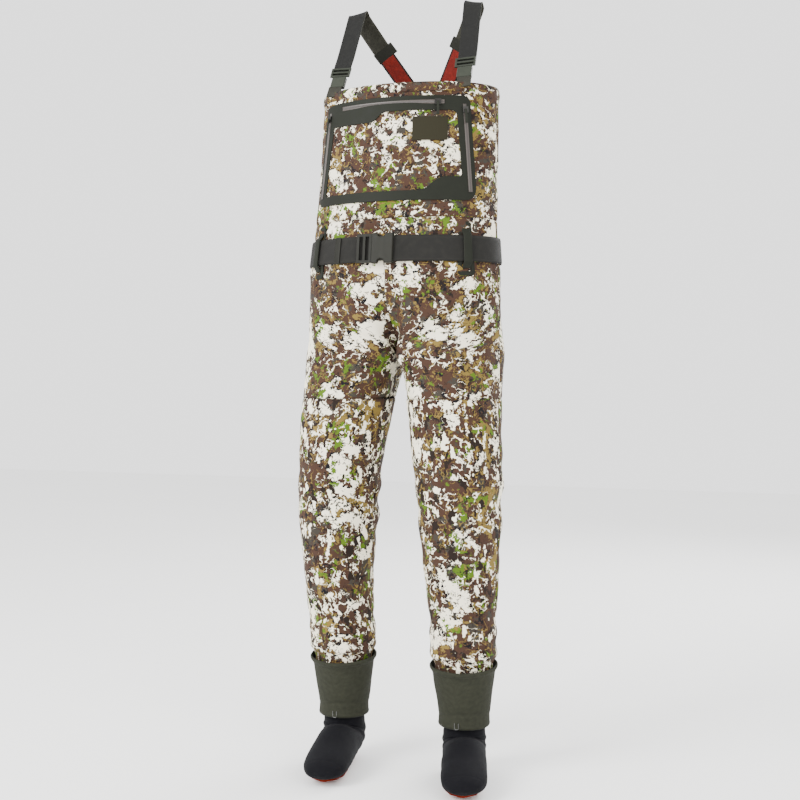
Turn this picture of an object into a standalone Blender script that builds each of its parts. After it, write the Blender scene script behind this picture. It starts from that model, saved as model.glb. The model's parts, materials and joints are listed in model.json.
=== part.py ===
"""Stockingfoot chest waders, in metres, +Z up. The front faces -Y and the wearer's left is +X.

The origin is midway between the tops of the two shoulder straps, which is what the waders hang by.
Each cloth piece is a thin wall wrapped on one of two shapes: the torso's sections or a leg's sections.
"""

import math

import bmesh
import bpy
from mathutils import Matrix, Vector

# Lengths down the front, from the strap tops.
HEM_DROP = 0.184
BIB_LENGTH = 0.264
WAIST_LENGTH = 0.110
SEAT_LENGTH = 0.148
THIGH_LENGTH = 0.195
KNEE_LENGTH = 0.180
SHIN_LENGTH = 0.332
GUARD_LENGTH = 0.120

# The torso's sections: half width and half depth.
HIP_HALF_WIDTH = 0.195
HEM_HALF_WIDTH = HIP_HALF_WIDTH - 0.014
HEM_HALF_DEPTH = 0.112
HEM_CENTRE_Y = 0.040
WAIST_HALF_WIDTH = HIP_HALF_WIDTH - 0.008
WAIST_HALF_DEPTH = 0.115
WAIST_CENTRE_Y = 0.010
HIP_HALF_DEPTH = 0.118
CROTCH_HALF_WIDTH = HIP_HALF_WIDTH + 0.004
CROTCH_HALF_DEPTH = 0.113

# A leg's sections: half width and half depth, and how far the leg stands from the middle.
THIGH_HALF_WIDTH = CROTCH_HALF_WIDTH / 2 - 0.0025
THIGH_HALF_DEPTH = 0.109
KNEE_HALF_WIDTH = 0.080
KNEE_HALF_DEPTH = 0.086
KNEE_FORWARD = 0.035
KNEE_X = 0.127
CUFF_HALF_WIDTH = 0.058
ANKLE_HALF_WIDTH = 0.0425

CLOTH = 0.0025  # wall of the laminated cloth
GAP = 0.0003  # between pieces that touch
LAYER_GAP = 0.0008  # between two layers, one wrapped on the other
LOOP_GAP = HIP_HALF_WIDTH * 0.0055  # under the loops' patches, which cross the torso's corners
POCKET_GAP = 0.0017  # under the pocket, whose slanting sides cross the torso's corners
SEAM_GAP = 0.001  # between two panels along their seam
SEAT_CURVE = 4  # how late the seat's centre seam turns under to the crotch
SEAT_CLEARANCE = 0.007  # above the thigh panels
TORSO_STEP = 10.0  # degrees between the torso's corners
LEG_STEP = 20.0  # degrees between a leg's corners

HEM_BAND = 0.018
HEM_WALL = 0.004

# The front pocket's trim.
POCKET_TOP_DROP = 0.028  # below the hem
POCKET_HEIGHT = 0.204
POCKET_TOP_TURN = 53.0
POCKET_BOTTOM_TURN = 61.0
CORNER_SHARE = 0.45  # of a rail, cut off at each corner of the pocket
TOP_RAIL_FACETS = 0.62  # of the pocket's half width, with a closer row of facets
WINDOW_INSET = 0.012  # of the pocket's half width, between the window and each side rail
TRIM_WALL = 0.0016
TOP_RAIL = 0.036
SIDE_RAIL_TURN = 11.0
BOTTOM_RAIL = 0.024
LABEL_WIDTH = 0.068
LABEL_HEIGHT = 0.046
LABEL_X = 0.078
LABEL_WALL = 0.001
LABEL_DROP = 0.006  # below the window's top edge
WINDOW_WALL = 0.0012
WINDOW_LAP = 0.0015  # the gap between the window and its frame

# Zips.
COIL_WIDTH = 0.008
COIL_HEIGHT = 0.0014
TOP_ZIP_HALF = 0.106
TOP_ZIP_DROP = 0.013  # below the pocket's top edge
SIDE_ZIP_INSET = 0.016
SLIDER_LENGTH = 0.012
SLIDER_WIDTH = 0.011
SLIDER_HEIGHT = 0.0038
SLIDER_PLAY = 0.0005
PULL_LENGTH = 0.028
PULL_WIDTH = 0.005
PULL_THICK = 0.002
PULL_HEAD = 0.0009  # how far a pull reaches above its hinge
PULL_CLEARANCE = 0.0006  # between a pull and its slider

# The wading belt.
BELT_WIDTH = 0.050
BELT_THICK = 0.0025
BELT_DROP = 0.061  # its middle, below the waist seam
SOCKET_LENGTH = 0.043
SOCKET_HEIGHT = 0.058
SOCKET_THICK = 0.011
SOCKET_WALL = 0.002
NOTCH_RADIUS = 0.009
INSERT_DEPTH = 0.028  # how far the insert reaches into the socket
LADDER_LENGTH = 0.030
LADDER_THICK = 0.004
BAR = 0.005
ARM_HEIGHT = 0.006
ARM_ROOM = 0.008  # between an arm and the tongue
TONGUE_ROOT = 0.006  # how far the tongue overlaps the ladder
LADDER_MARGIN = 0.003  # the ladder stands this far past each edge of the belt
LADDER_RAIL = 0.005
KEEPER_LENGTH = 0.012
KEEPER_THICK = 0.0012
KEEPER_X = -0.096
LOOP_X = 0.151
LOOP_WIDTH = 0.012
LOOP_THICK = 0.0022
LOOP_REACH = 0.013  # past each edge of the belt
LOOP_BEND = 0.006  # past each edge of the belt, where it leaves the patch
LOOP_PATCH_WIDTH_TURN = 13.0
LOOP_PATCH_HEIGHT = 0.104
LOOP_PATCH_RAIL = 0.016
LOOP_WINDOW_SHARE = 0.45  # of the patch's width
LOOP_SHOULDER = 0.002  # inside each edge of the belt, where it's at its full height

# Suspenders.
STRAP_WIDTH = 0.038
STRAP_THICK = 0.002
STRAP_TOP_X = 0.125
STRAP_TOP_Y = 0.070
STRAP_FRONT_X = 0.136
STRAP_BEND = 0.012  # radius over the shoulder
STRAP_SOCKET_WIDTH = 0.030
STRAP_SOCKET_LENGTH = 0.026
STRAP_SOCKET_THICK = 0.009
STRAP_SOCKET_WALL = 0.0018
STRAP_LADDER_LENGTH = 0.022
STRAP_LADDER_THICK = 0.003
STRAP_LADDER_LIFT = 0.0022  # the ladder lies this far outside the socket's middle
STRAP_LADDER_MARGIN = 0.002
STRAP_BAR = 0.004
STRAP_LOW = 0.0032  # the strap starts this far inside the socket's middle, behind the tongue
TAB_LENGTH = 0.010
TAB_WIDTH = 0.028
YOKE_RISE = 0.012  # above the back hem's top edge
YOKE_HEIGHT = 0.060
YOKE_HALF_TURN = 20.0
BACK_STRAP_X = 0.024  # where a back strap meets the yoke
ADJUSTER_LENGTH = 0.024
ADJUSTER_WIDTH = 0.046
ADJUSTER_THICK = 0.004
ELASTIC_WIDTH = 0.036
ADJUSTER_SHARE = 0.36  # of the way down the back strap

# Feet.
SOCK_WALL = 0.004
SOCK_IN_GUARD = 0.0055  # the sock's neck is this much slimmer than the cloth round the ankle
SOLE_THICK = 0.004
SOLE_PAST_HEEL = 0.006
SOLE_PAST_TOE = 0.028
FOOT_YAW = {"left": 17.0, "right": 9.0}  # degrees towards +X
HOOK_WIRE = 0.0009
HOOK_WIDTH = 0.008
HOOK_HEIGHT = 0.012
HOOK_BEND = 0.002

# Colours.
CAMOUFLAGE = (0.33, 0.28, 0.17)
CAMOUFLAGE_DARK = (0.22, 0.19, 0.12)
TRIM = (0.07, 0.075, 0.055)
WEBBING = (0.045, 0.043, 0.032)
BUCKLE = (0.06, 0.058, 0.048)
PALE_BUCKLE = (0.23, 0.25, 0.19)
ELASTIC = (0.42, 0.03, 0.02)
NEOPRENE_OLIVE = (0.08, 0.075, 0.05)
NEOPRENE_BLACK = (0.012, 0.013, 0.017)
SOLE_RED = (0.35, 0.06, 0.03)
COIL = (0.16, 0.13, 0.11)
METAL = (0.35, 0.35, 0.34)

# Heights worked out from the lengths.
HEM_Z = -HEM_DROP
SEAM_Z = HEM_Z - BIB_LENGTH
HIP_Z = SEAM_Z - WAIST_LENGTH
CROTCH_Z = HIP_Z - SEAT_LENGTH
THIGH_END_Z = CROTCH_Z - THIGH_LENGTH
KNEE_Z = THIGH_END_Z - KNEE_LENGTH / 2
SHIN_TOP_Z = THIGH_END_Z - KNEE_LENGTH
SHIN_END_Z = SHIN_TOP_Z - SHIN_LENGTH
GUARD_END_Z = SHIN_END_Z - 0.020
GUARD_TOP_Z = GUARD_END_Z + GUARD_LENGTH
ANKLE_Z = GUARD_END_Z - 0.005
BELT_Z = SEAM_Z - BELT_DROP
POCKET_TOP_Z = HEM_Z - POCKET_TOP_DROP
POCKET_BOTTOM_Z = POCKET_TOP_Z - POCKET_HEIGHT
HIP_PIVOT_Z = HIP_Z - SEAT_LENGTH * 0.54

SIDES = {"left": 1.0, "right": -1.0}


def clear_scene():
    for old in list(bpy.data.objects):
        bpy.data.objects.remove(old, do_unlink=True)


def material(name, colour, roughness=0.8, metallic=0.0):
    made = bpy.data.materials.get(name)
    if made:
        return made
    made = bpy.data.materials.new(name)
    made.use_nodes = True
    shader = made.node_tree.nodes["Principled BSDF"]
    shader.inputs["Base Color"].default_value = (*colour, 1.0)
    shader.inputs["Roughness"].default_value = roughness
    shader.inputs["Metallic"].default_value = metallic
    return made


def keep(name, mesh, look, smooth=False):
    """Links a mesh as the named object, with its material."""
    mesh.materials.append(look)
    if smooth:
        mesh.shade_smooth()
    obj = bpy.data.objects.new(name, mesh)
    bpy.context.scene.collection.objects.link(obj)
    return obj


def axis_empty(name, place):
    empty = bpy.data.objects.new(name, None)
    empty.location = place
    bpy.context.scene.collection.objects.link(empty)
    return empty


def hang(obj, empty):
    """Puts the object's origin on the empty, which stands on a joint's axis."""
    obj.data.transform(Matrix.Translation(-empty.location))
    obj.parent = empty


def solidify(obj, wall):
    wrap = obj.modifiers.new("wall", "SOLIDIFY")
    wrap.thickness = wall
    wrap.offset = -1.0
    wrap.use_even_offset = True


def bevel(obj, width, segments=1):
    edge = obj.modifiers.new("edge", "BEVEL")
    edge.width = width
    edge.segments = segments
    edge.limit_method = "ANGLE"
    edge.angle_limit = math.radians(40)


def cut(obj, cutter):
    cutter.hide_render = True
    cutter.display_type = "WIRE"
    hole = obj.modifiers.new("cut " + cutter.name, "BOOLEAN")
    hole.object = cutter
    hole.operation = "DIFFERENCE"
    hole.solver = "EXACT"


def skin(name, point, columns, rows, wall, look, skip=None, ring=False):
    """A thin wall: point(column, row) gives its outer face, and skip(i, j) leaves out a cell.

    Columns run anticlockwise seen from above and rows run down, so that the face looks outwards.
    """
    shape = bmesh.new()
    grid = [[shape.verts.new(point(column, row)) for column in columns] for row in rows]
    across = len(columns) if ring else len(columns) - 1
    for j in range(len(rows) - 1):
        for i in range(across):
            if skip and skip(i, j):
                continue
            k = (i + 1) % len(columns)
            shape.faces.new((grid[j][i], grid[j + 1][i], grid[j + 1][k], grid[j][k]))
    loose = [vert for vert in shape.verts if not vert.link_faces]
    bmesh.ops.delete(shape, geom=loose, context="VERTS")
    mesh = bpy.data.meshes.new(name)
    shape.to_mesh(mesh)
    shape.free()
    obj = keep(name, mesh, look)
    solidify(obj, wall)
    return obj


def block(name, size, matrix, look, edge=0.0):
    """A box of the given size, its middle and its axes given by the matrix."""
    shape = bmesh.new()
    bmesh.ops.create_cube(shape, size=1.0, matrix=matrix @ Matrix.Diagonal((*size, 1.0)))
    mesh = bpy.data.meshes.new(name)
    shape.to_mesh(mesh)
    shape.free()
    obj = keep(name, mesh, look)
    if edge:
        bevel(obj, edge)
    return obj


def drum(name, radius, height, matrix, look, sides=20):
    shape = bmesh.new()
    bmesh.ops.create_cone(
        shape, cap_ends=True, segments=sides, radius1=radius, radius2=radius, depth=height, matrix=matrix
    )
    mesh = bpy.data.meshes.new(name)
    shape.to_mesh(mesh)
    shape.free()
    return keep(name, mesh, look)


def axes(across, up, place):
    """A matrix whose X runs across and whose Z runs up a face, and whose Y points into it."""
    z = up.normalized()
    y = z.cross(across).normalized()
    x = y.cross(z)
    turn = Matrix((x, y, z)).transposed().to_4x4()
    return Matrix.Translation(place) @ turn


def between(stations, z):
    """The values of the stations around this height, shared between them."""
    if z >= stations[0][0]:
        return stations[0][1:]
    for upper, lower in zip(stations, stations[1:]):
        if z >= lower[0]:
            share = (upper[0] - z) / (upper[0] - lower[0])
            return [a + (b - a) * share for a, b in zip(upper[1:], lower[1:])]
    return stations[-1][1:]


def torso_section(z):
    """Half width, half depth and centre Y."""
    stations = (
        (HEM_Z, HEM_HALF_WIDTH, HEM_HALF_DEPTH, HEM_CENTRE_Y),
        (SEAM_Z, WAIST_HALF_WIDTH, WAIST_HALF_DEPTH, WAIST_CENTRE_Y),
        (HIP_Z, HIP_HALF_WIDTH, HIP_HALF_DEPTH, 0.0),
        (CROTCH_Z, CROTCH_HALF_WIDTH, CROTCH_HALF_DEPTH, 0.0),
    )
    return between(stations, z)


def faceted(turn, step, middle, half_width, half_depth):
    """A point on an oval with a corner at each step, turn degrees round from the front towards the left."""
    whole = math.floor(turn / step)
    corners = []
    for corner in (whole, whole + 1):
        angle = math.radians(corner * step)
        corners.append(middle + Vector((half_width * math.sin(angle), -half_depth * math.cos(angle), 0)))
    return corners[0].lerp(corners[1], turn / step - whole)


def torso_point(turn, z, lift=0.0):
    """A point on the torso, lift outside the cloth."""
    half_width, half_depth, centre_y = torso_section(z)
    return faceted(turn, TORSO_STEP, Vector((0, centre_y, z)), half_width + lift, half_depth + lift)


def torso_turn(x, z):
    """The turn at which the torso's front has this X."""
    half_width = torso_section(z)[0]
    return math.degrees(math.asin(max(-1.0, min(1.0, x / half_width))))


def torso_face(turn, z, lift):
    """A matrix on the torso's face: X across it, Y into it and Z up it."""
    reach = 1.0
    across = torso_point(turn + reach, z, lift) - torso_point(turn - reach, z, lift)
    up = torso_point(turn, z + 0.01, lift) - torso_point(turn, z - 0.01, lift)
    return axes(across, up, torso_point(turn, z, lift))


def leg_section(side, z):
    """Centre X, centre Y, half width and half depth."""
    inner = CROTCH_HALF_WIDTH - THIGH_HALF_WIDTH - 0.0005
    stations = (
        (CROTCH_Z, inner, 0.0, THIGH_HALF_WIDTH, THIGH_HALF_DEPTH),
        (KNEE_Z, KNEE_X, -KNEE_FORWARD, KNEE_HALF_WIDTH, KNEE_HALF_DEPTH),
        (GUARD_TOP_Z, KNEE_X, -0.008, CUFF_HALF_WIDTH, CUFF_HALF_WIDTH),
        (GUARD_END_Z, KNEE_X, -0.004, ANKLE_HALF_WIDTH, ANKLE_HALF_WIDTH),
    )
    return between(stations, z)


def leg_point(side, turn, z, lift=0.0):
    x, y, half_width, half_depth = leg_section(side, z)
    return faceted(turn, LEG_STEP, Vector((SIDES[side] * x, y, z)), half_width + lift, half_depth + lift)


def spread(start, end, step):
    """Values from start to end, a step apart at most, with every whole step in between."""
    inner = [n * step for n in range(math.floor(start / step) + 1, math.ceil(end / step))]
    return [start] + inner + [end]


def even(start, end, count):
    return [start + (end - start) * n / count for n in range(count + 1)]


def seam_turn(z, share=0.5):
    """The turn that half a seam's gap takes at the torso's side."""
    return math.degrees(SEAM_GAP * share / torso_section(z)[1])


def build_bib():
    camo = material("camouflage_laminate", CAMOUFLAGE)
    rows = [HEM_Z - HEM_BAND - SEAM_GAP, SEAM_Z + SEAM_GAP / 2]
    edge = seam_turn(SEAM_Z)
    front = spread(-90 + edge, 90 - edge, TORSO_STEP)
    back = spread(90 + edge, 270 - edge, TORSO_STEP)
    skin("bib_front", torso_point, front, rows, CLOTH, camo)
    skin("bib_back", torso_point, back, rows, CLOTH, camo)
    ring = [n * TORSO_STEP for n in range(round(360 / TORSO_STEP))]
    skin("bib_hem", lambda t, z: torso_point(t, z, HEM_WALL - CLOTH), ring,
         [HEM_Z, HEM_Z - HEM_BAND], HEM_WALL, camo, ring=True)
    rows = [SEAM_Z - SEAM_GAP / 2, HIP_Z]
    skin("waist_front", torso_point, front, rows, CLOTH, camo)
    skin("waist_back", torso_point, back, rows, CLOTH, camo)


def build_seat(side):
    """Half of the seat: open along the centre seam at the hips, and closed to a leg's ring at the crotch."""
    camo = material("camouflage_laminate", CAMOUFLAGE)
    edge = math.degrees(SEAM_GAP / CROTCH_HALF_WIDTH)

    top = HIP_Z - SEAM_GAP
    end = CROTCH_Z + SEAT_CLEARANCE

    def point(turn, z):
        share = ((top - z) / (top - end)) ** SEAT_CURVE
        around = (turn - 90) * 2 + 90 if side == "left" else (turn - 270) * 2 + 270
        leg = leg_point(side, around, CROTCH_Z)
        leg.z = z
        return torso_point(turn, z).lerp(leg, share)

    columns = spread(edge, 180 - edge, TORSO_STEP)
    if side == "right":
        columns = [360 - turn for turn in reversed(columns)]
    rows = [top + (end - top) * at for at in (0.0, 0.45, 0.7, 0.87, 1.0)]
    return skin(f"seat_{side}", point, columns, rows, CLOTH, camo)


def build_leg(side, hip, knee):
    camo = material("camouflage_laminate", CAMOUFLAGE)
    panel = material("knee_laminate", CAMOUFLAGE_DARK)
    edge = math.degrees(SEAM_GAP / CUFF_HALF_WIDTH) / 2

    def surface(turn, z):
        return leg_point(side, turn, z)

    front = spread(-90 + edge, 90 - edge, LEG_STEP)
    back = spread(90 + edge, 270 - edge, LEG_STEP)
    thigh = even(CROTCH_Z - SEAM_GAP, THIGH_END_Z, 2)
    shin = [SHIN_TOP_Z - SEAM_GAP] + even(SHIN_TOP_Z - SHIN_LENGTH * 0.35, GUARD_TOP_Z, 1)
    shin += [SHIN_END_Z]
    hang(skin(f"thigh_front_{side}", surface, front, thigh, CLOTH, camo), hip)
    hang(skin(f"thigh_back_{side}", surface, back, thigh, CLOTH, camo), hip)
    hang(skin(f"shin_front_{side}", surface, front, shin, CLOTH, panel), knee)
    hang(skin(f"shin_back_{side}", surface, back, shin, CLOTH, camo), knee)
    ring = [n * LEG_STEP for n in range(round(360 / LEG_STEP))]
    fold = [THIGH_END_Z - SEAM_GAP, KNEE_Z, SHIN_TOP_Z]
    hang(skin(f"knee_fold_{side}", surface, ring, fold, CLOTH, panel, ring=True), knee)


def build_guard(side, knee):
    olive = material("guard_neoprene", NEOPRENE_OLIVE, 0.9)
    wire = material("hook_wire", METAL, 0.35, 1.0)
    lift = LAYER_GAP + SOCK_WALL
    ring = [n * LEG_STEP for n in range(round(360 / LEG_STEP))]
    rows = even(GUARD_TOP_Z, GUARD_END_Z, 3)
    sleeve = skin(f"gravel_guard_{side}", lambda t, z: leg_point(side, t, z, lift), ring, rows,
                  SOCK_WALL, olive, ring=True)
    hang(sleeve, knee)
    face = leg_point(side, 0, GUARD_END_Z, lift + GAP + HOOK_WIRE)
    route = [Vector((-HOOK_WIDTH / 2, 0, HOOK_HEIGHT)), Vector((-HOOK_WIDTH / 2, 0, HOOK_BEND))]
    route += [Vector((-HOOK_WIDTH / 4, 0, 0)), Vector((HOOK_WIDTH / 4, 0, 0))]
    route += [Vector((HOOK_WIDTH / 2, 0, HOOK_BEND)), Vector((HOOK_WIDTH / 2, 0, HOOK_HEIGHT))]
    line = bpy.data.curves.new(f"boot_hook_{side}", "CURVE")
    line.dimensions = "3D"
    spline = line.splines.new("POLY")
    spline.points.add(len(route) - 1)
    for point, place in zip(spline.points, route):
        point.co = (*(place + face + Vector((0, -HOOK_BEND, HOOK_BEND)) - knee.location), 1.0)
    line.bevel_depth = HOOK_WIRE
    line.bevel_resolution = 2
    line.use_fill_caps = True
    line.materials.append(wire)
    hook = bpy.data.objects.new(f"boot_hook_{side}", line)
    bpy.context.scene.collection.objects.link(hook)
    hook.parent = knee


def foot_ring(side, ring, count):
    """The corners of one ring of the sock. A ring leans by its tilt, from level to upright."""
    forward, fall, tilt, half_width, half_height = ring
    x, y, _, _ = leg_section(side, ANKLE_Z)
    yaw = math.radians(FOOT_YAW[side])
    ahead = Vector((math.sin(yaw), -math.cos(yaw), 0.0))
    across = Vector((math.cos(yaw), math.sin(yaw), 0.0))
    lean = math.radians(tilt)
    rise = ahead * math.cos(lean) + Vector((0, 0, 1)) * math.sin(lean)
    middle = Vector((SIDES[side] * x, y, ANKLE_Z - fall)) + ahead * forward
    angles = [2 * math.pi * n / count for n in range(count)]
    return [middle + across * half_width * math.sin(a) + rise * half_height * math.cos(a) for a in angles]


def sock_rings():
    """Forward of the ankle, below it, tilt, half width and half height, from the neck to the toes."""
    neck = ANKLE_HALF_WIDTH - SOCK_IN_GUARD
    return (
        (0.000, -0.007, 0.0, neck, neck),
        (0.000, 0.014, 10.0, neck, neck + 0.003),
        (0.006, 0.040, 38.0, neck, 0.046),
        (0.055, 0.040, 60.0, 0.039, 0.040),
        (0.108, 0.048, 76.0, 0.043, 0.030),
        (0.158, 0.056, 80.0, 0.041, 0.0225),
        (0.184, 0.060, 82.0, 0.028, 0.014),
    )


def build_foot(side, ankle):
    black = material("sock_neoprene", NEOPRENE_BLACK, 0.9)
    red = material("sole_rubber", SOLE_RED, 0.8)
    count = 16
    shape = bmesh.new()
    loops = []
    for ring in sock_rings():
        loops.append([shape.verts.new(place) for place in foot_ring(side, ring, count)])
    for upper, lower in zip(loops, loops[1:]):
        for i in range(count):
            k = (i + 1) % count
            shape.faces.new((upper[i], upper[k], lower[k], lower[i]))
    shape.faces.new(loops[-1])
    bmesh.ops.recalc_face_normals(shape, faces=shape.faces)
    mesh = bpy.data.meshes.new(f"sock_{side}")
    shape.to_mesh(mesh)
    shape.free()
    sock = keep(f"sock_{side}", mesh, black, smooth=True)
    solidify(sock, SOCK_WALL)
    hang(sock, ankle)
    hang(build_sole(side, red), ankle)


def build_sole(side, look):
    """A flat sole under the sock, leaning as the foot does."""
    heel = Vector(foot_ring(side, sock_rings()[2], 4)[2])
    toe = Vector(foot_ring(side, sock_rings()[5], 4)[2])
    yaw = math.radians(FOOT_YAW[side])
    across = Vector((math.cos(yaw), math.sin(yaw), 0.0))
    ahead = (toe - heel).normalized()
    down = ahead.cross(across)
    if down.z > 0:
        down = -down
    length = (toe - heel).length + SOLE_PAST_HEEL + SOLE_PAST_TOE
    widths = ((0.0, 0.014), (0.06, 0.027), (0.2, 0.034), (0.45, 0.031), (0.7, 0.040), (0.86, 0.037),
              (0.96, 0.024), (1.0, 0.010))
    bottoms = [foot_ring(side, ring, 4)[2] for ring in sock_rings()[2:]]
    dip = max((place - heel).dot(down) for place in bottoms)
    start = heel - ahead * SOLE_PAST_HEEL + down * (dip + 2 * GAP)
    shape = bmesh.new()
    left = [shape.verts.new(start + ahead * length * at + across * wide) for at, wide in widths]
    right = [shape.verts.new(start + ahead * length * at - across * wide) for at, wide in reversed(widths)]
    face = shape.faces.new(left + right)
    face.normal_update()
    if face.normal.dot(down) < 0:
        face.normal_flip()
    grown = bmesh.ops.extrude_face_region(shape, geom=[face])
    moved = [item for item in grown["geom"] if isinstance(item, bmesh.types.BMVert)]
    bmesh.ops.translate(shape, verts=moved, vec=down * SOLE_THICK)
    bmesh.ops.recalc_face_normals(shape, faces=shape.faces)
    mesh = bpy.data.meshes.new(f"sole_{side}")
    shape.to_mesh(mesh)
    shape.free()
    return keep(f"sole_{side}", mesh, look)


def pocket_turn(z):
    share = (POCKET_TOP_Z - z) / POCKET_HEIGHT
    return POCKET_TOP_TURN + (POCKET_BOTTOM_TURN - POCKET_TOP_TURN) * share


def pocket_point(u, z, lift):
    """A point on the pocket: u runs from -1 at the right edge to +1 at the left edge."""
    return torso_point(u * pocket_turn(z), z, lift)


def build_pocket():
    trim = material("welded_trim", TRIM, 0.6)
    camo = material("camouflage_laminate", CAMOUFLAGE)
    patch = material("label_weave", TRIM, 0.9)
    rail = SIDE_RAIL_TURN / POCKET_BOTTOM_TURN
    corner = rail * CORNER_SHARE
    columns = [-1.0, -1 + corner, -1 + rail] + even(-TOP_RAIL_FACETS, TOP_RAIL_FACETS, 10)
    columns += [1 - rail, 1 - corner, 1.0]
    window_top = POCKET_TOP_Z - TOP_RAIL
    window_bottom = POCKET_BOTTOM_Z + BOTTOM_RAIL
    rows = [POCKET_TOP_Z, POCKET_TOP_Z - TOP_RAIL * CORNER_SHARE, window_top]
    rows += [(window_top + window_bottom) / 2, window_bottom]
    rows += [POCKET_BOTTOM_Z + BOTTOM_RAIL * CORNER_SHARE, POCKET_BOTTOM_Z]
    last_column = len(columns) - 2
    last_row = len(rows) - 2

    def open_cell(i, j):
        in_window = 2 <= i <= last_column - 2 and 2 <= j <= last_row - 2
        at_corner = i in (0, last_column) and j in (0, last_row)
        return in_window or at_corner

    lift = POCKET_GAP + TRIM_WALL
    skin("pocket_frame", lambda u, z: pocket_point(u, z, lift), columns, rows, TRIM_WALL, trim,
         skip=open_cell)
    inside = 1 - rail - WINDOW_INSET
    skin("pocket_window", lambda u, z: pocket_point(u, z, POCKET_GAP + WINDOW_WALL),
         even(-inside, inside, 12), [window_top - WINDOW_LAP, window_bottom + WINDOW_LAP], WINDOW_WALL, camo)
    middle = torso_turn(LABEL_X, window_top)
    width = math.degrees(LABEL_WIDTH / 2 / HEM_HALF_WIDTH)
    top = window_top - LABEL_DROP
    patch_lift = POCKET_GAP + WINDOW_WALL + LAYER_GAP + LABEL_WALL
    skin("label_patch", lambda t, z: torso_point(t, z, patch_lift), even(middle - width, middle + width, 4),
         [top, top - LABEL_HEIGHT], LABEL_WALL, patch)


def slider(name, matrix, empty, look):
    """A slider that straddles its coil. The matrix has Y into the coil and Z along it."""
    size = (SLIDER_WIDTH, SLIDER_HEIGHT, SLIDER_LENGTH)
    body = block(name, size, matrix @ Matrix.Translation((0, -SLIDER_HEIGHT / 2, 0)), look)
    room = COIL_HEIGHT + SLIDER_PLAY
    groove = (COIL_WIDTH + 2 * SLIDER_PLAY, 2 * room, SLIDER_LENGTH * 2)
    cutter = block(name + "_groove", groove, matrix, look)
    hang(body, empty)
    hang(cutter, empty)
    cut(body, cutter)
    return body


def pull(name, matrix, empty, look):
    """A pull that hangs from the slider's top, on a hinge across it. Its Z runs down from the hinge."""
    size = (PULL_WIDTH, PULL_THICK, PULL_LENGTH)
    tab = block(name, size, matrix @ Matrix.Translation((0, 0, PULL_HEAD - PULL_LENGTH / 2)), look, 0.0006)
    hang(tab, empty)
    return tab


def build_top_zip():
    """The coil follows a true arc about an upright axis, so that its slider runs along it as on a hinge."""
    coil = material("zip_coil", COIL, 0.5)
    z = POCKET_TOP_Z - TOP_ZIP_DROP
    half_width, half_depth, centre_y = torso_section(z)
    radius = half_width ** 2 / half_depth
    lift = POCKET_GAP + TRIM_WALL + LAYER_GAP
    axis_y = centre_y - half_depth + radius
    outer = radius + lift + COIL_HEIGHT

    def arc(angle, height):
        return Vector((outer * math.sin(angle), axis_y - outer * math.cos(angle), height))

    reach = math.asin(TOP_ZIP_HALF / outer)
    skin("top_zip_coil", arc, even(-reach, reach, 40), [z + COIL_WIDTH / 2, z - COIL_WIDTH / 2],
         COIL_HEIGHT, coil)
    at = math.asin((TOP_ZIP_HALF - SLIDER_LENGTH) / outer)
    out = Vector((math.sin(at), -math.cos(at), 0))
    along = Vector((math.cos(at), math.sin(at), 0))
    place = Vector((0, axis_y, z)) + out * (outer - COIL_HEIGHT - SLIDER_PLAY / 2 + 0.0005)
    metal = material("slider_metal", METAL, 0.4, 1.0)
    turn = axes(Vector((0, 0, -1)), along, place)
    run = axis_empty("top_zip_axis", Vector((0, axis_y, z)))
    slider("top_zip_slider", turn, run, metal)
    hinge_place = place + out * (SLIDER_HEIGHT + PULL_THICK / 2 + PULL_CLEARANCE)
    hinge = axis_empty("top_pull_axis", hinge_place)
    lean = (WAIST_HALF_DEPTH - WAIST_CENTRE_Y - HEM_HALF_DEPTH + HEM_CENTRE_Y) / BIB_LENGTH
    pull("top_zip_pull", axes(along, Vector((0, 0, 1)) - out * lean, hinge_place), hinge, coil)


def build_side_zip(side):
    """A straight coil down the side rail, with its slider at the top."""
    coil = material("zip_coil", COIL, 0.5)
    metal = material("slider_metal", METAL, 0.4, 1.0)
    sign = SIDES[side]
    lift = POCKET_GAP + TRIM_WALL + LAYER_GAP
    share = 1 - SIDE_RAIL_TURN / POCKET_BOTTOM_TURN / 2
    top_z = POCKET_TOP_Z - SIDE_ZIP_INSET
    end_z = POCKET_BOTTOM_Z + SIDE_ZIP_INSET
    top = pocket_point(sign * share, top_z, lift)
    end = pocket_point(sign * share, end_z, lift)
    up = (top - end).normalized()
    face = torso_face(sign * share * pocket_turn(top_z), top_z, lift)
    across = face.to_3x3() @ Vector((1, 0, 0))
    middle = axes(across, up, (top + end) / 2)
    length = (top - end).length
    block(f"{side}_zip_coil", (COIL_WIDTH, COIL_HEIGHT, length),
          middle @ Matrix.Translation((0, -COIL_HEIGHT / 2, 0)), coil)
    place = top - up * SLIDER_LENGTH
    lowered = axes(across, up, place) @ Matrix.Translation((0, -SLIDER_PLAY / 2, 0))
    run = axis_empty(f"{side}_zip_axis", place)
    slider(f"{side}_zip_slider", lowered, run, metal)
    hinge_matrix = lowered @ Matrix.Translation((0, -SLIDER_HEIGHT - PULL_THICK / 2 - PULL_CLEARANCE, 0))
    hinge = axis_empty(f"{side}_pull_axis", hinge_matrix.translation)
    pull(f"{side}_zip_pull", hinge_matrix, hinge, coil)


def belt_lift():
    """The belt lies over the loops' patches."""
    return LOOP_GAP + LAYER_GAP + TRIM_WALL + BELT_THICK


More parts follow.
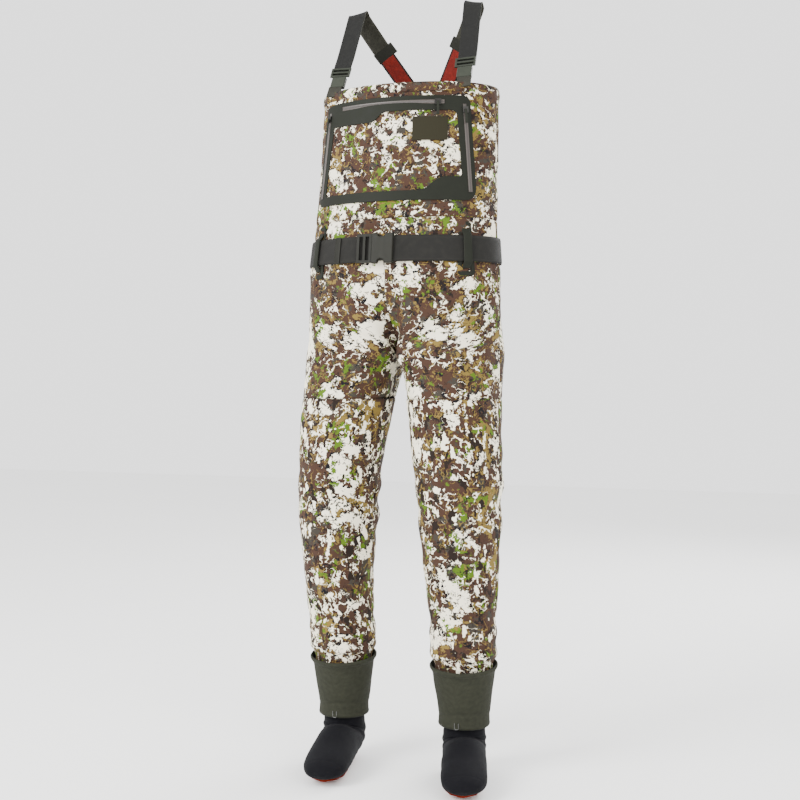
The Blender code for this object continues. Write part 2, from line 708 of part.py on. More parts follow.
def build_belt():
    webbing = material("belt_webbing", WEBBING, 0.85)
    plastic = material("belt_buckle_plastic", BUCKLE, 0.5)
    lift = belt_lift()
    start = torso_turn(SOCKET_LENGTH / 2 + SEAM_GAP, BELT_Z)
    skin("belt_webbing", lambda t, z: torso_point(t, z, lift), spread(start, 360 - start, TORSO_STEP),
         [BELT_Z + BELT_WIDTH / 2, BELT_Z - BELT_WIDTH / 2], BELT_THICK, webbing)
    flat = torso_face(0, BELT_Z, 2 * LAYER_GAP)
    build_belt_socket(flat, plastic)
    build_belt_insert(flat, plastic)
    turn = torso_turn(KEEPER_X, BELT_Z)
    half = math.degrees(KEEPER_LENGTH / 2 / HIP_HALF_WIDTH)
    outer = lift + LAYER_GAP + KEEPER_THICK
    skin("belt_keeper", lambda t, z: torso_point(t, z, outer), even(turn - half, turn + half, 2),
         [BELT_Z + BELT_WIDTH / 2, BELT_Z - BELT_WIDTH / 2], KEEPER_THICK, plastic)


def build_belt_socket(flat, look):
    out = -SOCKET_THICK / 2
    body = block("belt_buckle_socket", (SOCKET_LENGTH, SOCKET_THICK, SOCKET_HEIGHT),
                 flat @ Matrix.Translation((0, out, 0)), look, 0.0012)
    room = (SOCKET_LENGTH, SOCKET_THICK - 2 * SOCKET_WALL, SOCKET_HEIGHT - 4 * SOCKET_WALL)
    mouth = block("belt_socket_mouth", room, flat @ Matrix.Translation((-SOCKET_WALL * 3, out, 0)), look)
    cut(body, mouth)
    for end in (1, -1):
        turn = Matrix.Rotation(math.pi / 2, 4, "X")
        place = Matrix.Translation((-0.002, out, end * SOCKET_HEIGHT / 2)) @ turn
        notch = drum(f"belt_socket_notch_{end + 1}", NOTCH_RADIUS, SOCKET_THICK * 2, flat @ place, look)
        cut(body, notch)


def build_belt_insert(flat, look):
    """The insert: a ladder outside the socket and a tongue inside it, with an arm above and one below."""
    thick = SOCKET_THICK - 2 * SOCKET_WALL - 2 * SLIDER_PLAY
    out = -SOCKET_THICK / 2
    left = -SOCKET_LENGTH / 2 - GAP * 2
    height = SOCKET_HEIGHT - 4 * SOCKET_WALL - 4 * SLIDER_PLAY
    ladder_height = BELT_WIDTH + 2 * LADDER_MARGIN
    run = axis_empty("belt_insert_axis", flat @ Vector((left, out, 0)))
    front = -BELT_THICK - LADDER_THICK / 2 - 3 * LAYER_GAP
    plate = block("belt_buckle_insert", (LADDER_LENGTH, LADDER_THICK, ladder_height),
                  flat @ Matrix.Translation((left - LADDER_LENGTH / 2, front, 0)), look)
    hang(plate, run)
    slot = (LADDER_LENGTH - 3 * BAR) / 2
    for n in range(2):
        x = left - BAR - slot / 2 - n * (slot + BAR)
        window = block(f"ladder_window_{n}", (slot, 2 * SOCKET_THICK, ladder_height - 2 * LADDER_RAIL),
                       flat @ Matrix.Translation((x, front, 0)), look)
        hang(window, run)
        cut(plate, window)
    tongue_height = height - 2 * ARM_HEIGHT - 2 * ARM_ROOM
    reach = INSERT_DEPTH + TONGUE_ROOT
    tongue = block("insert_tongue", (reach, thick * 0.5, tongue_height),
                   flat @ Matrix.Translation((left + reach / 2 - TONGUE_ROOT, out, 0)), look)
    tongue.hide_render = True
    tongue.display_type = "WIRE"
    hang(tongue, run)
    join = plate.modifiers.new("tongue", "BOOLEAN")
    join.object = tongue
    join.operation = "UNION"
    for name, end in (("upper", 1), ("lower", -1)):
        root = flat @ Matrix.Translation((left + 0.002, out, end * (height / 2 - ARM_HEIGHT / 2)))
        hinge = axis_empty(f"belt_arm_{name}_axis", root.translation)
        size = (INSERT_DEPTH - 0.004, thick * 0.5, ARM_HEIGHT)
        place = root @ Matrix.Translation((size[0] / 2, 0, 0))
        arm = block(f"belt_release_{name}", size, place, look, 0.0008)
        hang(arm, hinge)


def build_belt_loop(side):
    """A welded patch with open windows above and below the belt, and an arched loop over the belt."""
    trim = material("welded_trim", TRIM, 0.6)
    middle = SIDES[side] * abs(torso_turn(LOOP_X, BELT_Z))
    half = LOOP_PATCH_WIDTH_TURN / 2
    lift = LOOP_GAP + TRIM_WALL
    top = LOOP_PATCH_HEIGHT / 2
    clear = BELT_WIDTH / 2 + LAYER_GAP
    upper = [top, top - LOOP_PATCH_RAIL / 2, clear]
    window = half * LOOP_WINDOW_SHARE
    columns = [middle - half, middle - window, middle + window, middle + half]
    rows = [BELT_Z + rise for rise in upper] + [BELT_Z - rise for rise in reversed(upper)]
    skin(f"belt_loop_patch_{side}", lambda t, z: torso_point(t, z, lift), columns, rows, TRIM_WALL, trim,
         skip=lambda i, j: i == 1 and j in (1, 3))
    arch = math.degrees(LOOP_WIDTH / 2 / HIP_HALF_DEPTH)
    high = lift + LAYER_GAP + LOOP_THICK
    over = belt_lift() + 2 * LAYER_GAP + KEEPER_THICK + LOOP_THICK
    edge = BELT_WIDTH / 2
    rises = ((edge + LOOP_REACH, high), (edge + LOOP_BEND, high), (edge - LOOP_SHOULDER, over))
    steps = [(BELT_Z + rise, out) for rise, out in rises]
    steps += [(BELT_Z - rise, out) for rise, out in reversed(rises)]
    lifts = dict(steps)
    skin(f"belt_loop_{side}", lambda t, z: torso_point(t, z, lifts[z]),
         [middle - arch, middle, middle + arch], list(lifts), LOOP_THICK, trim)


def ribbon(name, places, widths_along, wall, width, look):
    """A strap through the places, each with its own sideways direction."""
    shape = bmesh.new()
    pairs = []
    for place, sideways in zip(places, widths_along):
        half = sideways.normalized() * width / 2
        pairs.append((shape.verts.new(place - half), shape.verts.new(place + half)))
    for (a, b), (c, d) in zip(pairs, pairs[1:]):
        shape.faces.new((a, b, d, c))
    mesh = bpy.data.meshes.new(name)
    shape.to_mesh(mesh)
    shape.free()
    obj = keep(name, mesh, look)
    wrap = obj.modifiers.new("wall", "SOLIDIFY")
    wrap.thickness = wall
    wrap.offset = 0.0
    return obj


def yoke_lift():
    return HEM_WALL - CLOTH + LAYER_GAP + TRIM_WALL


def strap_places(side):
    """Where the strap leaves the front hem, passes over the shoulder and meets the yoke."""
    sign = SIDES[side]
    front = torso_point(sign * abs(torso_turn(STRAP_FRONT_X, HEM_Z)), HEM_Z, -CLOTH)
    top = Vector((sign * STRAP_TOP_X, STRAP_TOP_Y, 0.0))
    turn = 180 - sign * math.degrees(BACK_STRAP_X / HEM_HALF_WIDTH)
    foot = torso_point(turn, HEM_Z + YOKE_RISE, yoke_lift())
    lean = math.atan2(STRAP_TOP_X - abs(foot.x), -foot.z)
    corner = ELASTIC_WIDTH / 2 * math.sin(lean) + 2 * SEAM_GAP
    back = torso_point(turn, HEM_Z + YOKE_RISE + corner, yoke_lift())
    return front, top, back


def build_suspender(side):
    webbing = material("strap_webbing", WEBBING, 0.85)
    plastic = material("strap_buckle_plastic", PALE_BUCKLE, 0.5)
    red = material("strap_elastic", ELASTIC, 0.9)
    front, top, back = strap_places(side)
    bend = Vector((0, 0, -STRAP_BEND))
    up_front = (top + bend - Vector((0, STRAP_BEND, 0)) - front).normalized()
    across = (Vector((1, 0, 0)) - up_front * up_front.x).normalized()
    out = across.cross(up_front).normalized()  # away from the chest
    down_back = (back - (top + bend + Vector((0, STRAP_BEND, 0)))).normalized()
    across_back = down_back.cross(Vector((0, 1, 0))).normalized()
    if across_back.x < 0:
        across_back = -across_back

    tab_start = front + up_front * (GAP * 2)
    tab_end = tab_start + up_front * TAB_LENGTH
    ribbon(f"strap_tab_{side}", [tab_start, tab_end], [across, across], STRAP_THICK, TAB_WIDTH, webbing)

    socket_middle = tab_end + up_front * (GAP * 2 + STRAP_SOCKET_LENGTH / 2)
    socket = block(f"strap_buckle_socket_{side}",
                   (STRAP_SOCKET_WIDTH, STRAP_SOCKET_THICK, STRAP_SOCKET_LENGTH),
                   axes(across, up_front, socket_middle), plastic, 0.0012)
    wall = STRAP_SOCKET_WALL
    room = block(f"strap_socket_mouth_{side}",
                 (STRAP_SOCKET_WIDTH - 4 * wall, STRAP_SOCKET_THICK - 2 * wall, STRAP_SOCKET_LENGTH),
                 axes(across, up_front, socket_middle + up_front * wall * 3), plastic)
    cut(socket, room)

    mouth = socket_middle + up_front * (STRAP_SOCKET_LENGTH / 2 + GAP * 2)
    run = axis_empty(f"strap_insert_axis_{side}", mouth)
    plate_place = mouth + up_front * STRAP_LADDER_LENGTH / 2 + out * STRAP_LADDER_LIFT
    plate_width = STRAP_WIDTH + 2 * STRAP_LADDER_MARGIN
    plate = block(f"strap_buckle_insert_{side}", (plate_width, STRAP_LADDER_THICK, STRAP_LADDER_LENGTH),
                  axes(across, up_front, plate_place), plastic)
    hang(plate, run)
    slot = (STRAP_LADDER_LENGTH - 3 * STRAP_BAR) / 2
    for n in range(2):
        rise = STRAP_BAR + slot / 2 + n * (slot + STRAP_BAR) - STRAP_LADDER_LENGTH / 2
        place = plate_place + up_front * rise
        window = block(f"strap_ladder_window_{side}_{n}", (STRAP_WIDTH - STRAP_BAR, STRAP_SOCKET_THICK, slot),
                       axes(across, up_front, place), plastic)
        hang(window, run)
        cut(plate, window)
    tongue_width = STRAP_SOCKET_WIDTH - 4 * wall - 4 * SLIDER_PLAY
    tongue = block(f"strap_tongue_{side}",
                   (tongue_width, STRAP_LADDER_THICK, STRAP_SOCKET_LENGTH * 0.7),
                   axes(across, up_front, mouth - up_front * STRAP_SOCKET_LENGTH * 0.3), plastic)
    tongue.hide_render = True
    tongue.display_type = "WIRE"
    hang(tongue, run)
    join = plate.modifiers.new("tongue", "BOOLEAN")
    join.object = tongue
    join.operation = "UNION"

    start = mouth + up_front * STRAP_BAR - out * STRAP_LOW
    apex = top + bend
    places = [start]
    sideways = [across]
    for n in range(5):
        angle = math.pi * (0.15 + 0.7 * n / 4)
        offset = Vector((0, -math.cos(angle), math.sin(angle))) * STRAP_BEND
        places.append(apex + offset)
        sideways.append(across.lerp(across_back, n / 4))
    adjuster = apex + Vector((0, STRAP_BEND, 0))
    adjuster = adjuster.lerp(back, ADJUSTER_SHARE)
    places.append(adjuster)
    sideways.append(across_back)
    ribbon(f"shoulder_strap_{side}", places, sideways, STRAP_THICK, STRAP_WIDTH, webbing)

    place = adjuster + down_back * (GAP * 2 + ADJUSTER_LENGTH / 2)
    block(f"strap_adjuster_{side}", (ADJUSTER_WIDTH, ADJUSTER_THICK, ADJUSTER_LENGTH),
          axes(across_back, -down_back, place), plastic, 0.001)
    first = place + down_back * (GAP * 2 + ADJUSTER_LENGTH / 2)
    ribbon(f"strap_elastic_{side}", [first, back], [across_back, across_back], STRAP_THICK,
           ELASTIC_WIDTH, red)


def build_yoke():
    trim = material("welded_trim", TRIM, 0.6)
    top = HEM_Z + YOKE_RISE
    skin("back_yoke", lambda t, z: torso_point(t, z, yoke_lift()),
         spread(180 - YOKE_HALF_TURN, 180 + YOKE_HALF_TURN, TORSO_STEP),
         [top, HEM_Z, top - YOKE_HEIGHT], TRIM_WALL, trim)


def build_all():
    clear_scene()
    build_bib()
    build_pocket()
    build_top_zip()
    build_belt()
    build_yoke()
    for side, sign in SIDES.items():
        hip = axis_empty(f"hip_axis_{side}", Vector((sign * CROTCH_HALF_WIDTH / 2, 0, HIP_PIVOT_Z)))
        knee_x, knee_y, _, _ = leg_section(side, KNEE_Z)
        knee = axis_empty(f"knee_axis_{side}", Vector((sign * knee_x, knee_y, KNEE_Z)))
        foot_x, foot_y, _, _ = leg_section(side, ANKLE_Z)
        ankle = axis_empty(f"ankle_axis_{side}", Vector((sign * foot_x, foot_y, ANKLE_Z)))
        build_seat(side)
        build_leg(side, hip, knee)
        build_guard(side, knee)
        build_foot(side, ankle)
        build_side_zip(side)
        build_belt_loop(side)
        build_suspender(side)


build_all()
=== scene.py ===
"""The looks of a pair of stockingfoot chest waders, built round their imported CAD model.

It is laid out as a Blender add-on and run as a script. Lengths are metres, with +Z up and the
wearer facing -Y. A turn round the body or a leg is in degrees, from the front towards +X.
"""

import json
import math

import bmesh
import bpy
import numpy as np
from bpy.props import FloatProperty, FloatVectorProperty, PointerProperty
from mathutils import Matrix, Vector, noise


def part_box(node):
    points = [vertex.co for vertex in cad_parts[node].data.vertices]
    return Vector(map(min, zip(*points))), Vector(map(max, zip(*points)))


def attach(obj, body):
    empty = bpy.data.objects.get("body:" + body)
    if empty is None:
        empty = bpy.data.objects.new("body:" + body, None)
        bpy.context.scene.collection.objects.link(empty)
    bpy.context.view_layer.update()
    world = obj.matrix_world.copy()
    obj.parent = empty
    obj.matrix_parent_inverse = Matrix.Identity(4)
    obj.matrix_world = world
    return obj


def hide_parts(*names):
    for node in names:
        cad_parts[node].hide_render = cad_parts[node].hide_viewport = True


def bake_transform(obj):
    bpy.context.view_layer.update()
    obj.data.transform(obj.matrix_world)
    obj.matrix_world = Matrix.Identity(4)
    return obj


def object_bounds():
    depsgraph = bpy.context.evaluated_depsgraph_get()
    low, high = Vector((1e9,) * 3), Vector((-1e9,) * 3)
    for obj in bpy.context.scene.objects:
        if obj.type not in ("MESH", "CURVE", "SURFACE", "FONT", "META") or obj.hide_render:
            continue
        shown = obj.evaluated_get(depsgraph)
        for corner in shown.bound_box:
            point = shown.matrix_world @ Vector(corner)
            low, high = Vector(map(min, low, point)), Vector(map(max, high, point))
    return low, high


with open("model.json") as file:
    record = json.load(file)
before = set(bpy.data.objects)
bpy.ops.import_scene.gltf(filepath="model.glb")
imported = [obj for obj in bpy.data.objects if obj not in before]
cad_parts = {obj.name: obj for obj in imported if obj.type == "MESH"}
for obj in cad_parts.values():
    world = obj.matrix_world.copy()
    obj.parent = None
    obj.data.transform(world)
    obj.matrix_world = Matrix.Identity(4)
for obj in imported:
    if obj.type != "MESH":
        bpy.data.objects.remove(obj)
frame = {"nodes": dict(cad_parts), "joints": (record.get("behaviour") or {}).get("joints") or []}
CAD_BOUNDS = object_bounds()

bl_info = {
    "name": "Chest waders",
    "version": (1, 0, 0),
    "blender": (4, 5, 0),
    "location": "3D View > Sidebar > Waders",
    "description": "Builds the cloth, webbing, neoprene and hardware of a pair of chest waders",
    "category": "Add Mesh",
}

SIDES = {"left": 1.0, "right": -1.0}
MM = 0.001


def hex_colour(code):
    """An sRGB hex colour as the linear RGBA that a shader takes."""
    parts = [int(code[start:start + 2], 16) / 255 for start in (1, 3, 5)]
    linear = [part / 12.92 if part <= 0.04045 else ((part + 0.055) / 1.055) ** 2.4
              for part in parts]
    return (*linear, 1.0)


def low(node):
    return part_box(node)[0]


def high(node):
    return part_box(node)[1]


def joint_place(name):
    """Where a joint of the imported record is."""
    joint = next(joint for joint in frame["joints"] if joint["name"] == name)
    return Vector(joint["pos_m"])


def colour(label, code):
    return FloatVectorProperty(
        name=label,
        description=f"Colour of the {label.lower()}",
        subtype="COLOR",
        size=4,
        min=0.0,
        max=1.0,
        default=hex_colour(code),
    )


def length(label, text, default):
    return FloatProperty(name=label, description=text, default=default, unit="LENGTH", precision=5)


class WaderSizes(bpy.types.PropertyGroup):
    """Sizes that the CAD model leaves open."""

    cloth_wall: length("Cloth wall", "Thickness of the laminated cloth", 1.6 * MM)
    mesh_step: length("Mesh step", "Spacing of the cloth's mesh", 5.0 * MM)
    soft_fold: length("Soft fold", "Height of the broad, soft folds", 4.0 * MM)
    small_fold: length("Small fold", "Height of the small wrinkles", 1.1 * MM)
    groin_fold: length("Groin fold", "Depth of the creases that run out from the crotch", 7.0 * MM)
    blouse_fold: length("Blouse fold", "Height of the rings of cloth that sit above the guards", 3.5 * MM)
    seam_width: length("Seam width", "Width of a welded seam", 5.0 * MM)
    seam_depth: length("Seam depth", "Depth of a welded seam", 1.5 * MM)
    print_speck: length("Print speck", "Size of the print's smallest patches", 9.0 * MM)
    print_cluster: length("Print cluster", "Size of the print's clusters", 46.0 * MM)


class WaderColours(bpy.types.PropertyGroup):
    """Colours of the cloth's print and of the trims."""

    ground: colour("Brown ground", "#39261c")
    bark: colour("Dark bark", "#1b120d")
    tan: colour("Dry grass", "#6f5c2b")
    leaf: colour("Leaf green", "#48620f")
    stone: colour("Stone grey", "#322e28")
    cream: colour("Cream", "#f2ead2")
    shadow: colour("Navy shadow", "#0b0a0f")
    lining: colour("Lining", "#161615")
    trim: colour("Welded trim", "#1c1e18")
    label: colour("Woven label", "#232116")
    webbing: colour("Strap webbing", "#302f27")
    # Painted shade: the same webbing as the straps' outer face, painted darker for the inner face.
    strap_shaded_back: colour("Strap's inner face in painted shade", "#141412")
    belt: colour("Belt webbing", "#1a1916")
    belt_plastic: colour("Belt buckle", "#1b1b16")
    strap_plastic: colour("Strap buckles", "#2b2e27")
    elastic: colour("Red elastic", "#75190f")
    elastic_edge: colour("Elastic's edge", "#13110f")
    guard: colour("Guard neoprene", "#272820")
    sock: colour("Sock neoprene", "#09090d")
    sole: colour("Sole rubber", "#7a230f")
    tape: colour("Zip tape", "#3c342f")
    floor: colour("Floor", "#f6f6f5")


def sizes():
    return bpy.context.scene.wader_sizes


def colours():
    return bpy.context.scene.wader_colours


# ---- materials ----


def add(tree, kind, inputs=None, **settings):
    """Adds a node. An input takes another node's output, or a value."""
    node = tree.nodes.new(kind)
    for name, value in settings.items():
        setattr(node, name, value)
    for key, value in (inputs or {}).items():
        if isinstance(value, bpy.types.NodeSocket):
            tree.links.new(value, node.inputs[key])
        else:
            node.inputs[key].default_value = value
    return node.outputs


def start(name, roughness, metallic=0.0, **sockets):
    """A material with one principled shader, whose constant values sit on its own sockets."""
    material = bpy.data.materials.new(name)
    material.use_nodes = True
    tree = material.node_tree
    shader = tree.nodes["Principled BSDF"]
    shader.inputs["Roughness"].default_value = roughness
    shader.inputs["Metallic"].default_value = metallic
    for key, value in sockets.items():
        shader.inputs[key.replace("_", " ")].default_value = value
    return material, tree, shader


def speckle(tree, vector, size, detail=2.0, rough=0.5):
    """Noise whose patches have this size in metres, from 0 to 1."""
    inputs = {"Vector": vector, "Scale": 1 / size, "Detail": detail, "Roughness": rough}
    return add(tree, "ShaderNodeTexNoise", inputs)


def moved(tree, vector, offset):
    """The same coordinates somewhere else in the pattern."""
    return add(tree, "ShaderNodeVectorMath", {0: vector, 1: offset}, operation="ADD")[0]


def mix(tree, factor, first, second):
    """Second over first where the factor is 1."""
    inputs = {0: factor, 6: first, 7: second}
    return add(tree, "ShaderNodeMix", inputs, data_type="RGBA")[2]


def math_node(tree, operation, first, second=0.0):
    return add(tree, "ShaderNodeMath", {0: first, 1: second}, operation=operation)[0]


def ramp(tree, value, start_at, end_at, low_value=0.0, high_value=1.0):
    inputs = {0: value, 1: start_at, 2: end_at, 3: low_value, 4: high_value}
    return add(tree, "ShaderNodeMapRange", inputs)[0]


def bump(tree, shader, height, depth):
    """Relief of this depth in metres."""
    inputs = {"Height": height, "Strength": 1.0, "Distance": depth}
    normal = add(tree, "ShaderNodeBump", inputs)[0]
    tree.links.new(normal, shader.inputs["Normal"])


def threads(tree, vector, spacing, across="X"):
    """Threads side by side at this spacing, from 0 between them to 1 on top."""
    # A wave's own scale of 1 gives a band every 2 pi / 20 of a unit.
    inputs = {"Vector": vector, "Scale": 2 * math.pi / 20 / spacing}
    return add(tree, "ShaderNodeTexWave", inputs, bands_direction=across)["Fac"]


def print_patches(tree, vector, cluster, offset, cover, share):
    """Jagged patches of one ink, 0 or 1: cover is the threshold, share how far the clusters move it."""
    place = moved(tree, vector, offset)
    patches = speckle(tree, place, cluster * 0.5, 5.0, 0.68)[0]
    spread = speckle(tree, place, cluster * 1.9, 1.0)[0]
    level = math_node(tree, "MULTIPLY_ADD", spread, share)
    level.node.inputs[2].default_value = cover - share / 2
    return math_node(tree, "GREATER_THAN", patches, level)


def print_strokes(tree, vector, step, offset, width, gaps):
    """Thin curling strokes of one ink, 0 or 1, which come and go across the cloth."""
    place = moved(tree, vector, offset)
    lines = math_node(tree, "SUBTRACT", speckle(tree, place, step, 2.0, 0.55)[0], 0.5)
    come = speckle(tree, place, step * 1.6, 2.0)[0]
    wide = ramp(tree, come, gaps, gaps + 0.12, 0.0, width)
    return math_node(tree, "LESS_THAN", math_node(tree, "ABSOLUTE", lines), wide)


def printed_cloth(name, twigs):
    """Three-layer polyester laminate, sublimation printed: a flat, matt face with hard-edged inks
    and almost no gloss, so that the print reads before the light. Twigs adds longer strokes."""
    size, ink = sizes(), colours()
    material, tree, shader = start(name, 0.85)
    shader.inputs["Specular IOR Level"].default_value = 0.2
    uv = add(tree, "ShaderNodeUVMap")[0]
    jag = speckle(tree, uv, size.print_speck, 2.0, 0.7)[1]
    jag = add(tree, "ShaderNodeVectorMath", {0: jag, 1: (0.5, 0.5, 0.5)}, operation="SUBTRACT")[0]
    push = (size.print_speck * 1.2,) * 3
    jag = add(tree, "ShaderNodeVectorMath", {0: jag, 1: push}, operation="MULTIPLY")[0]
    torn = add(tree, "ShaderNodeVectorMath", {0: uv, 1: jag}, operation="ADD")[0]
    wide, fine = size.print_cluster, size.print_speck
    layers = [
        ("patches", ink.stone, (8.7, 2.9, 0.0), wide, 0.565, 0.40),
        ("patches", ink.bark, (3.1, 0.4, 0.0), wide, 0.590, 0.30),
        ("patches", ink.tan, (5.3, 1.1, 0.0), wide, 0.605, 0.60),
        ("strokes", ink.tan, (2.7, 8.8, 0.0), fine * 2.4, 0.020, 0.47),
        ("patches", ink.shadow, (7.7025, 4.1975, 0.0), wide * 1.05, 0.590, 0.80),
        ("patches", ink.cream, (7.7, 4.2, 0.0), wide * 1.05, 0.603, 0.80),
        ("patches", ink.leaf, (1.9, 6.1, 0.0), wide * 0.7, 0.622, 0.60),
        ("strokes", ink.cream, (6.4, 3.3, 0.0), fine * 2.8, 0.026, 0.49 - 0.02 * twigs),
        ("strokes", ink.shadow, (0.9, 5.5, 0.0), fine * 2.0, 0.030, 0.53),
    ]
    paint = ink.ground
    for kind, colour_of, offset, step, first, second in layers:
        draw = print_patches if kind == "patches" else print_strokes
        paint = mix(tree, draw(tree, torn, step, offset, first, second), paint, colour_of)
    for tilt, stretch, offset, colour_of, cover in twig_sets(ink) if twigs else ():
        place = add(tree, "ShaderNodeMapping", {"Vector": torn, "Rotation": (0, 0, math.radians(tilt)),
                                                "Scale": (1.0, stretch, 1.0), "Location": offset})[0]
        marks = speckle(tree, place, fine * 2.4, 2.0, 0.55)[0]
        paint = mix(tree, math_node(tree, "GREATER_THAN", marks, cover), paint, colour_of)
    tree.links.new(paint, shader.inputs["Base Color"])
    # The weave is 0.3 mm in the real cloth, drawn at 0.9 mm so that it shows.
    weave = math_node(tree, "MULTIPLY", threads(tree, uv, 0.9 * MM), threads(tree, uv, 0.9 * MM, "Y"))
    crumple = speckle(tree, uv, 18 * MM, 4.0, 0.55)[0]
    height = math_node(tree, "MULTIPLY_ADD", weave, 0.06)
    tree.links.new(crumple, height.node.inputs[2])
    bump(tree, shader, height, 2.4 * MM)
    return material


def twig_sets(ink):
    """Tilt, stretch, place, ink and cover of each set of strokes."""
    return (
        (35.0, 0.45, (4.0, 7.0, 0.0), ink.bark, 0.63),
        (-62.0, 0.50, (6.0, 5.0, 0.0), ink.cream, 0.64),
        (22.0, 0.45, (8.0, 1.0, 0.0), ink.cream, 0.65),
        (-30.0, 0.48, (1.0, 2.0, 0.0), ink.ground, 0.655),
    )


def knitted(name, colour_of, stitch, roughness, loop_highlight=0.25):
    """Jersey knit, as on the lining and on neoprene's faces: soft, without gloss, with small loops
    that catch the light at grazing angles, and whose raised tops carry a painted highlight."""
    material, tree, shader = start(name, roughness, Sheen_Weight=0.015, Sheen_Roughness=0.4)
    shader.inputs["Specular IOR Level"].default_value = 0.12
    uv = add(tree, "ShaderNodeUVMap")[0]
    loops = math_node(tree, "MULTIPLY", threads(tree, uv, stitch), threads(tree, uv, stitch * 1.4, "Y"))
    fluff = speckle(tree, uv, stitch * 6, 3.0, 0.5)[0]
    darker = tuple(part * 0.85 for part in colour_of[:3]) + (1.0,)
    lighter = tuple(part * 1.2 for part in colour_of[:3]) + (1.0,)
    base = mix(tree, ramp(tree, fluff, 0.3, 0.7), darker, lighter)
    # Painted highlight: the loops' raised tops are painted lighter than the gaps between them.
    base = mix(tree, ramp(tree, loops, 0.0, 1.0, 0.0, loop_highlight), base, lighter)
    tree.links.new(base, shader.inputs["Base Color"])
    height = math_node(tree, "MULTIPLY_ADD", loops, 0.5)
    tree.links.new(fluff, height.node.inputs[2])
    bump(tree, shader, height, 0.3 * MM)
    return material


def webbing(name, colour_of, edge_colour, width, rib):
    """Woven nylon webbing: fine ribs across it, thicker yarns along its edges, and a dull shine
    where the ribs turn up. The grooves between the ribs are painted darker, a painted shade."""
    material, tree, shader = start(name, 0.7)
    shader.inputs["Specular IOR Level"].default_value = 0.2
    uv = add(tree, "ShaderNodeUVMap")[0]
    ribs = threads(tree, uv, rib, "Y")
    yarns = threads(tree, uv, width / 22)
    parts = add(tree, "ShaderNodeSeparateXYZ", {0: uv})
    from_middle = math_node(tree, "ABSOLUTE", parts[0])
    edge = ramp(tree, from_middle, width * 0.385, width * 0.41)
    wear = speckle(tree, uv, 14 * MM, 3.0)[0]
    darker = tuple(part * 0.5 for part in colour_of[:3]) + (1.0,)
    lighter = tuple(min(1.0, part * 1.5) for part in colour_of[:3]) + (1.0,)
    # Painted shade: the grooves between the ribs are painted darker than the ribs' tops.
    base = mix(tree, ramp(tree, ribs, 0.1, 0.9), darker, colour_of)
    base = mix(tree, ramp(tree, wear, 0.45, 0.75, 0.0, 0.45), base, lighter)
    base = mix(tree, edge, base, edge_colour)
    tree.links.new(base, shader.inputs["Base Color"])
    height = math_node(tree, "MULTIPLY_ADD", yarns, 0.35)
    tree.links.new(ribs, height.node.inputs[2])
    bump(tree, shader, height, 0.45 * MM)
    return material


def moulded(name, colour_of, roughness, grain=0.6 * MM, **sockets):
    """Injection-moulded acetal or a welded polyurethane film: a fine spark-eroded grain, broad
    patches of darker tone and of varied roughness, and its sharpest edges painted a little paler."""
    material, tree, shader = start(name, roughness, **sockets)
    shader.inputs["Specular IOR Level"].default_value = 0.1
    place = add(tree, "ShaderNodeTexCoord")["Object"]
    grit = speckle(tree, place, grain, 2.0)[0]
    rub = speckle(tree, place, 17 * MM, 3.0, 0.6)[0]
    lighter = tuple(min(1.0, part * 1.7 + 0.004) for part in colour_of[:3]) + (1.0,)
    darker = tuple(part * 0.75 for part in colour_of[:3]) + (1.0,)
    base = mix(tree, ramp(tree, rub, 0.3, 0.7), darker, colour_of)
    # The sharpest, most convex edges are painted a little paler.
    edge = ramp(tree, add(tree, "ShaderNodeNewGeometry")["Pointiness"], 0.56, 0.64, 0.0, 0.35)
    base = mix(tree, edge, base, lighter)
    tree.links.new(base, shader.inputs["Base Color"])
    worn = ramp(tree, rub, 0.3, 0.7, roughness - 0.07, roughness + 0.07)
    tree.links.new(worn, shader.inputs["Roughness"])
    bump(tree, shader, grit, 0.12 * MM)
    return material


def cast_metal(name, colour_of, roughness, scratch):
    """Die-cast zinc under a thin dark finish, or drawn stainless wire: bright, with fine scratches."""
    material, tree, shader = start(name, roughness, 1.0)
    place = add(tree, "ShaderNodeTexCoord")["Object"]
    marks = speckle(tree, place, scratch, 4.0, 0.7)[0]
    darker = tuple(part * 0.6 for part in colour_of[:3]) + (1.0,)
    base = mix(tree, ramp(tree, marks, 0.35, 0.65), darker, colour_of)
    tree.links.new(base, shader.inputs["Base Color"])
    tree.links.new(ramp(tree, marks, 0.3, 0.7, roughness - 0.1, roughness + 0.12), shader.inputs["Roughness"])
    bump(tree, shader, marks, 0.06 * MM)
    return material


def zip_teeth(name, colour_of):
    """Nylon coil under a laminated polyurethane tape: a smooth taupe film, with the coil's turns
    pressing through it along the middle."""
    material, tree, shader = start(name, 0.42)
    uv = add(tree, "ShaderNodeUVMap")[0]
    turns = threads(tree, uv, 2.2 * MM, "Y")
    parts = add(tree, "ShaderNodeSeparateXYZ", {0: uv})
    middle = ramp(tree, math_node(tree, "ABSOLUTE", parts[0]), 1.4 * MM, 2.0 * MM, 1.0, 0.0)
    slit = ramp(tree, math_node(tree, "ABSOLUTE", parts[0]), 0.3 * MM, 0.7 * MM, 1.0, 0.0)
    raised = math_node(tree, "MULTIPLY", turns, middle)
    darker = tuple(part * 0.35 for part in colour_of[:3]) + (1.0,)
    base = mix(tree, ramp(tree, turns, 0.2, 0.8, 0.0, 0.35), colour_of, darker)
    base = mix(tree, slit, base, darker)
    tree.links.new(base, shader.inputs["Base Color"])
    bump(tree, shader, raised, 0.5 * MM)
    return material


def seamless_floor(name, colour_of):
    """Matt painted studio floor: pale, with hardly any texture."""
    material, tree, shader = start(name, 0.9)
    place = add(tree, "ShaderNodeTexCoord")["Object"]
    soft = speckle(tree, place, 0.4, 2.0)[0]
    darker = tuple(part * 0.97 for part in colour_of[:3]) + (1.0,)
    tree.links.new(mix(tree, soft, darker, colour_of), shader.inputs["Base Color"])
    return material


LOOKS = {}


